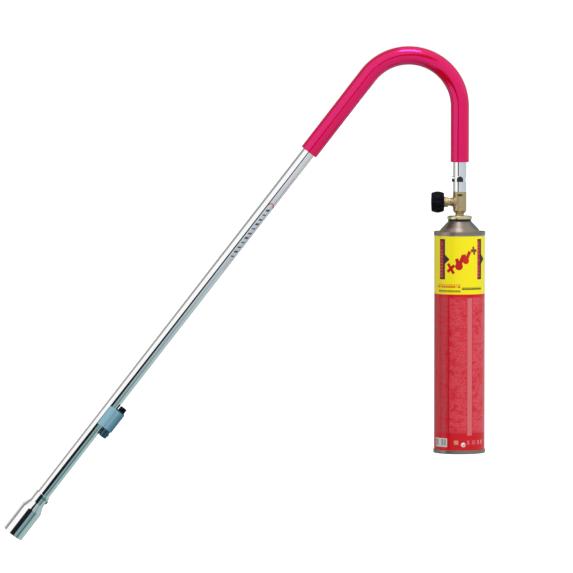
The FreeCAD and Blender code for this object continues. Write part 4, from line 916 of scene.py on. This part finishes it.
def screw(name, node, seat, shank, length, dome, rise):
    """A round-headed slotted screw; seat's run starts under its head."""
    radius = (dome**2 + (0.7 * rise) ** 2) / (1.4 * rise)
    level = np.linspace(0.3 * rise, rise, 8)[:-1]
    cap = [(math.sqrt(radius**2 - (z + radius - rise) ** 2), z) for z in level]
    body = turned(
        seat,
        [(0, -length), (shank, -length, 0.1), (shank, 0, 0.05), (dome, 0, 0.12)] + cap + [(0, rise)],
        columns=48, closed=False, steps=4,
    )
    half = 0.175 * rise
    outline = [(-half, -2 * dome), (half, -2 * dome), (half, 2 * dome), (-half, 2 * dome)]
    return piece(name, node, body, cutters=[prism(seat, outline, 0.6 * rise, 2 * rise)])


# igniter
IGNITER = LANCE.moved(side=14.05, along=529.6)


def igniter():
    """Button, housing and clip under the lance."""
    button = turned(
        IGNITER,
        [(0, 0), (4.65, 0, 1.0), (4.65, 12, 0.15), (3.7, 12, 0.1), (3.7, 1.5, 0.2), (0, 1.5)],
        columns=72, closed=False, longest=2.0,
    )
    piece("push_button", "igniter_button", button)
    housing = turned(
        IGNITER.moved(along=6.0),
        [(4.75, 0, 0.15), (5.5, 0, 0.25), (5.5, 40.4, 1.5), (0, 40.4), (0, 38.9), (4.75, 38.9, 0.5)],
        columns=80, longest=3.0,
    )
    piece("igniter_case", "igniter_housing", housing)
    place = LANCE.moved(along=537.0)

    def distance(x, y, z):
        """Half shell round the tube, sleeve round the housing and web between, less the two bores."""
        tube, case = np.hypot(x, y), np.hypot(x - 14.05, y)
        cradle = within(np.abs(tube - 9.2) - 0.65, -1.2 - x, 0.35)
        sleeve = np.abs(case - 6.1) - 0.55
        web = np.maximum(np.abs(y) - 4.8, np.maximum(4.0 - x, x - 14.05))
        body = joined(joined(cradle, sleeve, 0.5), web, 0.5)
        body = taken(taken(body, tube - 8.55, 0.12), case - 5.55, 0.12)
        return within(body, np.abs(z - 14.0) - 14.0, 0.45)

    piece("blue_clip", "igniter_clip", net(place, distance, (-2, -11, -1), (22, 11, 29), 0.3))
    seat = Axis(IGNITER.at((5.5 * MM, 0, 40.9 * MM)), LANCE_UNDER, LANCE_DOWN)
    screw("case_screw", "igniter_screw", seat, 0.8, 1.6, 1.7, 1.1)


BUTTON_TRAVEL = joints["igniter_press"]["range_m"][1] / MM


def pressed_spring(name, node, radius, wire, pitch, low, high):
    """A round-wire coil inside the button, between two heights.

    The wire's centre climbs one pitch for each turn at the given radius, and round it the surface lies
    one wire radius away: along by its sine, outwards by its cosine.
    """
    turns = (high - low - 2 * wire) / pitch
    climb, round_wire = np.meshgrid(
        np.linspace(0, turns, int(turns * 36)), np.arange(10) * (FULL / 10), indexing="ij"
    )
    run = low + wire + climb * pitch + wire * np.sin(round_wire)
    grid = IGNITER(run * MM, (radius + wire * np.cos(round_wire)) * MM, climb * FULL)
    made = piece(name, node, shell(grid, closed=False))
    keep = 1 - BUTTON_TRAVEL / (high - low)
    tuple(IGNITER.at((0, 0, high * MM)))
    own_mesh(made)


pressed_springs = (
    ("return_coil", "button_spring", 3.2, 0.25, 1.9, 1.8, 17.1),
    ("strike_coil", "hammer_spring", 1.9, 0.2, 1.5, 1.8, 18.1),
)


# valve
VALVE_LOW, VALVE_TOP, SPIGOT_TOP = -13.9, 12.9, 24.9


def valve_body():
    """The cast body: an upright leg with a tapered foot, a side boss with a concave neck, two milled
    slots, the cartridge's socket and the spindle's chamber, as blended distances."""
    neck_x = np.array((0.0, 7.2, 8.2, 9.2, 10.2, 11.2, 12.2, 13.5, 30.0))
    chord = np.hypot(6.3, 2.4)
    middle = np.array((10.35, 6.1)) + math.sqrt(9.5**2 - chord**2 / 4) * np.array((2.4, 6.3)) / chord
    neck_r = np.where(
        (neck_x >= 7.2) & (neck_x <= 13.5),
        middle[1] - np.sqrt(9.5**2 - np.clip(neck_x - middle[0], -9.4, 9.4) ** 2),
        np.where(neck_x < 7.2, 7.3, 4.9),
    )

    def distance(x, y, z):
        around, out = np.hypot(x, y), np.hypot(y, z)
        foot = 6.6 + np.clip((z - VALVE_LOW) / 2.9, 0, 1) * 2.0
        leg = within((around - foot) * 0.85, np.maximum(VALVE_LOW - z, z - VALVE_TOP), 0.35)
        boss = within(out - np.interp(x, neck_x, neck_r), np.maximum(-x, x - 19.0), 0.3)
        body = joined(leg, boss, 1.3)
        body = np.minimum(body, np.maximum(around - 7.47, np.maximum(-z, z - SPIGOT_TOP)))
        slot = np.maximum(np.abs(x) - 3.2, np.maximum(np.abs(z - 8.95) - 1.15, 7.4 - np.abs(y)))
        body = taken(body, slot, 0.15)
        body = taken(body, np.maximum(around - 5.65, z + 5.5), 0.2)
        chamber = np.maximum(out - np.where(x > 16.5, 3.9, 3.0), 2.8 - x)
        body = taken(body, chamber, 0.15)
        return taken(body, np.maximum(around - 2.5, 18.9 - z), 0.15)

    shape = net(VALVE, distance, (-9.5, -9.5, -15), (20.5, 9.5, 26), 0.36)
    # slots=True paints shade into the milled slots and the socket
    return piece("cast_valve_body", "valve_body", shape, finish=brass("cast_brass", slots=True))


def gland_nut():
    """A cap nut with six flats: the radius is kept below flat / cos(angle from the flat's middle)."""
    def hexagon(radius, turn):
        sixth = (turn + FULL / 12) % (FULL / 6) - FULL / 12
        return np.where(radius > 5.5, np.minimum(radius, 6.35 / np.cos(sixth)), radius)

    corners = [
        (4.95, 15.1, 0.05), (6.9, 15.1, 0.5), (6.9, 19.9, 0.5), (2.3, 19.9, 0.1), (2.3, 19.15), (4.95, 19.15),
    ]
    shape = turned(SPINDLE, corners, columns=144, longest=1.0, shape=hexagon)
    return piece("brass_nut", "gland_nut", shape, finish=brass("turned_brass", SPINDLE))


def knob():
    """The knob: a crowned rim with nine flutes, and a recess for its cap.

    A flute is a bar of radius a whose axis stands c from the knob's, so along a ray at angle t from it
    the rim ends at c cos t - sqrt(a^2 - c^2 sin^2 t); rim and flute meet in a soft edge.
    """
    centre, bar = 15.15, 2.9

    def fluted(radius, turn):
        ninth = (turn + FULL / 18) % (FULL / 9) - FULL / 18
        under = bar**2 - (centre * np.sin(ninth)) ** 2
        flute = np.where(under > 0, centre * np.cos(ninth) - np.sqrt(np.maximum(under, 0)), 99.0)
        share = np.clip(0.5 + (flute - radius) / 0.9, 0, 1)
        soft = flute + (radius - flute) * share - 0.45 * share * (1 - share)
        return np.where(radius > 8.5, np.where(under > 0, soft, radius), radius)

    crown = [
        (11.9 + 1.85 * (1 - ((run - 28.2) / 7.5) ** 2), run) for run in np.linspace(20.7, 35.7, 13)[1:-1]
    ]
    corners = (
        [(2.3, 20.1, 0.1), (8.6, 20.1), (11.5, 20.1, 0.5), (11.9, 20.7, 0.4)]
        + crown
        + [(11.9, 35.7, 0.4), (11.3, 36.3, 0.6), (8.6, 36.3), (7.2, 36.3, 0.3), (7.2, 35.1, 0.1)]
        + [(3.2, 35.1, 0.1), (3.2, 33.1), (1.3, 33.1), (1.3, 31.2), (0, 31.2), (0, 22.2), (2.3, 22.2)]
    )
    body = turned(SPINDLE, corners, columns=306, longest=1.4, steps=5, shape=fluted)
    piece("fluted_knob", "knob", body)
    bow = [(7.1 * math.sin(t), 36.3 + 0.5 * math.cos(t)) for t in np.linspace(math.pi / 2, 0, 9)[1:-1]]
    cap = turned(
        SPINDLE,
        [(0, 35.13), (7.1, 35.13, 0.1), (7.1, 36.3, 0.25)] + bow + [(0, 36.8)],
        columns=96, closed=False, longest=1.0,
    )
    piece("knob_button", "knob_cap", cap)


# cartridge


def cartridge():
    """Printed body, domed top, base, valve cup and threaded neck, all turned."""
    body = turned(
        CARTRIDGE, [(32.5, 2.2), (32.5, 283.2), (32.0, 283.2), (32.0, 2.2)], columns=192, longest=6.0
    )
    piece("printed_can", "can_body", body)
    rise = np.linspace(0, 1, 9)[1:-1]
    under = [(30.4 * (1 - t), 2.0 + 7.5 * (1 - (1 - t) ** 2)) for t in rise]
    base = turned(
        CARTRIDGE,
        [(0, 9.5)] + under[::-1] + [
            (30.4, 2.0, 1.5), (31.4, 0, 0.5), (33.0, 0, 0.7), (33.4, 0.5, 0.4), (33.4, 4.8, 0.5),
            (32.52, 4.8, 0.1), (32.52, 2.18), (31.98, 2.18), (31.98, 4.8), (31.48, 4.8), (31.48, 3.0, 0.5),
            (30.4, 3.0),
        ] + [(r, z + 1.0) for r, z in under] + [(0, 10.5)],
        columns=160, closed=False, longest=3.0,
    )
    piece("can_foot", "can_base", base)
    dome = turned(
        CARTRIDGE,
        [
            (32.52, 279.8, 0.1), (33.0, 279.8, 0.25), (33.0, 284.0, 0.5), (32.5, 284.4, 0.5),
            (31.9, 284.4, 0.3), (31.48, 283.9, 0.3), (31.0, 281.9, 0.6), (28.0, 281.9, 1.2),
            (23.3, 288.2, 9.0), (14.8, 297.0, 2.0), (14.8, 302.0, 0.4), (12.9, 302.0, 0.3), (12.9, 301.5),
            (14.3, 301.5, 0.3), (14.3, 296.75, 1.5), (27.75, 281.4, 0.6), (31.98, 281.4), (31.98, 283.22),
            (32.52, 283.22),
        ],
        columns=160,
        longest=2.5,
    )
    piece("can_shoulder", "can_dome", dome)
    curl = [(13.775 + 2.075 * math.cos(t), 302 + 2.075 * math.sin(t)) for t in np.linspace(0, math.pi, 17)]
    inner = [(13.775 - 1.575 * math.cos(t), 302 + 1.575 * math.sin(t)) for t in np.linspace(0, math.pi, 13)]
    cup = turned(
        CARTRIDGE,
        [(14.9, 299.9, 0.1), (15.85, 299.9, 0.35)] + curl + [
            (11.7, 300.9, 0.4), (5.1, 300.9), (5.1, 300.4), (12.2, 300.4, 0.3),
        ] + inner + [(15.35, 300.4), (14.9, 300.4)],
        columns=128,
        longest=1.5,
    )
    piece("gold_cup", "valve_cup", cup)
    groove = []
    for turn in range(8):
        level = 307.4 + turn * 0.907
        groove += [(5.55, level - 0.4, 0.05), (5.1, level, 0.05), (5.55, level + 0.4, 0.05)]
    neck = turned(
        CARTRIDGE,
        [
            (3.4, 298.6), (6.2, 298.6, 0.2), (6.2, 300.37), (5.07, 300.37), (5.07, 300.93),
            (7.5, 300.93, 0.15), (7.5, 302.3, 0.3), (5.55, 303.2, 0.4),
        ] + groove + [
            (5.55, 314.6, 0.1), (5.15, 315.0, 0.1), (1.9, 315.0, 0.15), (1.9, 306.85), (3.4, 306.85),
        ],
        columns=80,
        longest=1.2, steps=4,
    )
    piece("screw_neck", "threaded_neck", neck, finish=brass("neck_brass", CARTRIDGE))


lance_tube()
grip_sleeve()
burner_head()
screw("burner_screw", "head_screw", Axis(HEAD.at((9.85 * MM, 0, 6.2 * MM)), LANCE_UNDER, LANCE_DOWN),
      1.5, 1.29, 2.8, 1.7)
igniter()
for spring in pressed_springs:
    pressed_spring(*spring)
valve_body()
gland_nut()
knob()
cartridge()


# ---------------------------------------------------------------- studio and camera


def stage_sheet(name, grid, material):
    """A sheet of the studio over a grid of points (row, column, xyz)."""
    rows, columns = grid.shape[:2]
    index = np.arange(rows * columns).reshape(rows, columns)
    faces = np.stack([index[:-1, :-1], index[:-1, 1:], index[1:, 1:], index[1:, :-1]], -1).reshape(-1, 4)
    made = bpy.data.objects.new(name, bpy.data.meshes.new(name))
    made.data.from_pydata(grid.reshape(-1, 3).tolist(), [], faces.tolist())
    made.data.materials.append(material)
    bpy.context.scene.collection.objects.link(made)
    return made


def glowing(name, colour, strength):
    """A material that only gives off light."""
    paint = Finish(name)
    shade = colour(paint) if callable(colour) else colour
    light = paint.node("ShaderNodeEmission", None, {"Color": shade, "Strength": strength})
    paint.node("ShaderNodeOutputMaterial", None, {0: light})
    return paint.material


def card(name, grid, material):
    """A card that only reflections see."""
    made = stage_sheet(name, grid, material)
    made.visible_camera = made.visible_diffuse = made.visible_shadow = False
    made.visible_transmission = made.visible_volume_scatter = False


# metres: the tent's radius, its reach up and down the lance, and the small lamp's height
TENT = 0.45
TENT_REACH = (-0.45, 1.05)
TOP_LAMP_RISE = 0.36


def tent_light(paint):
    """What the tube mirrors: bands of light by the angle round the lance, changing down the lance.

    The angle is nought towards the front and grows towards the upper side. A dark slit faces the front,
    wider towards the burner; above it is white with a grey far side, below it cool greys and teal.
    """
    point = paint.place()
    run = paint.along(point, LANCE_START, LANCE_DOWN)
    above = paint.along(point, LANCE_START, -LANCE_UNDER)
    front = paint.along(point, LANCE_START, -ACROSS)
    angle = paint.node("ShaderNodeMath", {"operation": "ARCTAN2"}, {0: above, 1: front}) * (180 / math.pi)
    share = (run / 700.0).clamp()
    place = (angle + 180.0) / 360.0

    def bands(*stops):
        """A ramp of colours over the angle in degrees."""
        return paint.node(
            "ShaderNodeValToRGB",
            {"stops": [((degrees + 180.0) / 360.0, colour) for degrees, colour in stops]},
            {0: place},
        )

    white, grey = (1.05, 1.05, 1.05), (0.36, 0.355, 0.34)
    upper = bands(
        (-180, (0.20, 0.24, 0.25)), (-142, (0.22, 0.27, 0.28)), (-128, (0.55, 0.62, 0.65)),
        (-60, (0.60, 0.66, 0.70)), (-20, (0.66, 0.69, 0.76)), (0, white), (78, white),
        (94, grey), (180, grey),
    )
    lower = bands(
        (-180, (0.24, 0.38, 0.38)), (-120, (0.42, 0.55, 0.53)), (-74, (0.36, 0.50, 0.48)),
        (-62, (0.05, 0.15, 0.14)), (-52, (0.06, 0.18, 0.17)), (-44, (0.22, 0.38, 0.40)),
        (-22, (0.26, 0.36, 0.40)), (0, white), (84, white), (96, (0.28, 0.28, 0.27)),
        (118, (0.30, 0.30, 0.29)), (128, (0.80, 0.80, 0.79)), (146, (0.80, 0.80, 0.79)),
        (156, (0.30, 0.30, 0.29)), (180, (0.30, 0.30, 0.29)),
    )
    shade = paint.mix((share - 0.25) * 1.6, upper, lower)
    slit_top = 9.0 + share * share * 24.0
    slit_foot = share * -12.0 - 7.0
    slit = ((slit_top - angle) / 2.5).clamp() * ((angle - slit_foot) / 2.5).clamp()
    return paint.mix(slit, shade, (0.010, 0.012, 0.014))


def floor_and_tent():
    """The pale floor, the tent of light round the lance and a small lamp above the hook."""
    reach, level = 60.0, cad_box[0].z - 0.004
    paint = Finish("pale_floor")
    sweep = paint.noise(paint.place(), 0.6, 2.0)
    colour = paint.mix(sweep, (0.90, 0.90, 0.90), (0.92, 0.92, 0.92))
    floor_paint = paint.done(
        Base_Color=colour, Roughness=0.8, Emission_Color=(1.0, 1.0, 1.0, 1.0), Emission_Strength=0.55
    )
    across, back = np.meshgrid((-reach, reach), (-reach, reach), indexing="ij")
    floor = stage_sheet("floor", np.stack([across, back, 0 * across + level], -1), floor_paint)
    floor.visible_glossy = floor.visible_diffuse = False

    run, turn = np.meshgrid(np.linspace(*TENT_REACH, 4), np.linspace(0, FULL, 73), indexing="ij")
    tent = LANCE(run, np.full(run.shape, TENT), turn)
    card("tent", tent, glowing("tent_light", tent_light, 1.0))
    across, back = np.meshgrid((-0.06, 0.10), (-0.22, -0.10), indexing="ij")
    lamp = np.stack([across, back, 0 * across + TOP_LAMP_RISE], -1)
    card("top_lamp", lamp, glowing("top_lamp", (1.0, 0.95, 0.98), 9.0))


def studio_light():
    """White for the camera, an even pale dome for matt skins, and darker below and behind in mirrors."""
    world = bpy.data.worlds.new("studio")
    bpy.context.scene.world = world
    world.use_nodes = True
    paint = Paint(world.node_tree)
    x, y, z = paint.parts_of(paint.node("ShaderNodeTexCoord", output=0))
    rise = (z * 0.5 + 0.5).clamp()
    matt = paint.mix(rise, (0.36, 0.36, 0.38), (0.80, 0.80, 0.80))
    shine = paint.mix((z * 1.6 + 0.75).clamp(), (0.10, 0.09, 0.08), (0.85, 0.85, 0.86))
    toward = x * -0.62 + y * -0.62 + z * 0.48
    shine = paint.mix((toward * 3.0 - 1.4).clamp(), shine, (1.35, 1.35, 1.33))
    shine = paint.mix(((y - 0.35) * 5.0).clamp() * 0.75, shine, (0.20, 0.20, 0.20))
    matt_ray = paint.node("ShaderNodeLightPath", output=2)
    camera_ray = paint.node("ShaderNodeLightPath", output=0)
    shade = paint.mix(matt_ray, shine, matt)
    shade = paint.mix(camera_ray, shade, (1.0, 1.0, 1.0))
    light = paint.node("ShaderNodeBackground", None, {"Color": shade, "Strength": 1.0})
    paint.node("ShaderNodeOutputWorld", None, {0: light})


def soft_light(name, place, aim, size, power):
    """A square soft light that surfaces don't mirror."""
    lamp = bpy.data.lights.new(name, "AREA")
    lamp.energy, lamp.size = power, size
    made = bpy.data.objects.new(name, lamp)
    made.location = place
    made.rotation_euler = (Vector(aim) - Vector(place)).to_track_quat("-Z", "Y").to_euler()
    made.visible_glossy = False
    bpy.context.scene.collection.objects.link(made)


def camera():
    """A long lens, a little above the torch, which stands to the left of its aim."""
    centre = (cad_box[0] + cad_box[1]) / 2
    aim = centre + Vector((0.054, 0.0, 0.0096))
    distance, width, rise = 5.9, 0.735, math.radians(3.0)
    lens = bpy.data.cameras.new("camera")
    lens.sensor_width = 36.0
    lens.lens = lens.sensor_width * distance / width
    lens.clip_end = 100.0
    made = bpy.data.objects.new("camera", lens)
    made.location = aim + distance * Vector((0.0, -math.cos(rise), math.sin(rise)))
    made.rotation_euler = (aim - made.location).to_track_quat("-Z", "Y").to_euler()
    bpy.context.scene.collection.objects.link(made)
    bpy.context.scene.camera = made
    return aim


bpy.context.scene.view_settings.view_transform = "Standard"
floor_and_tent()
studio_light()
middle = camera()
soft_light("key", middle + Vector((1.5, -2.0, 1.1)), middle, 1.2, 26.0)
soft_light("fill", middle + Vector((-1.8, -1.6, 1.6)), middle, 1.6, 4.0)
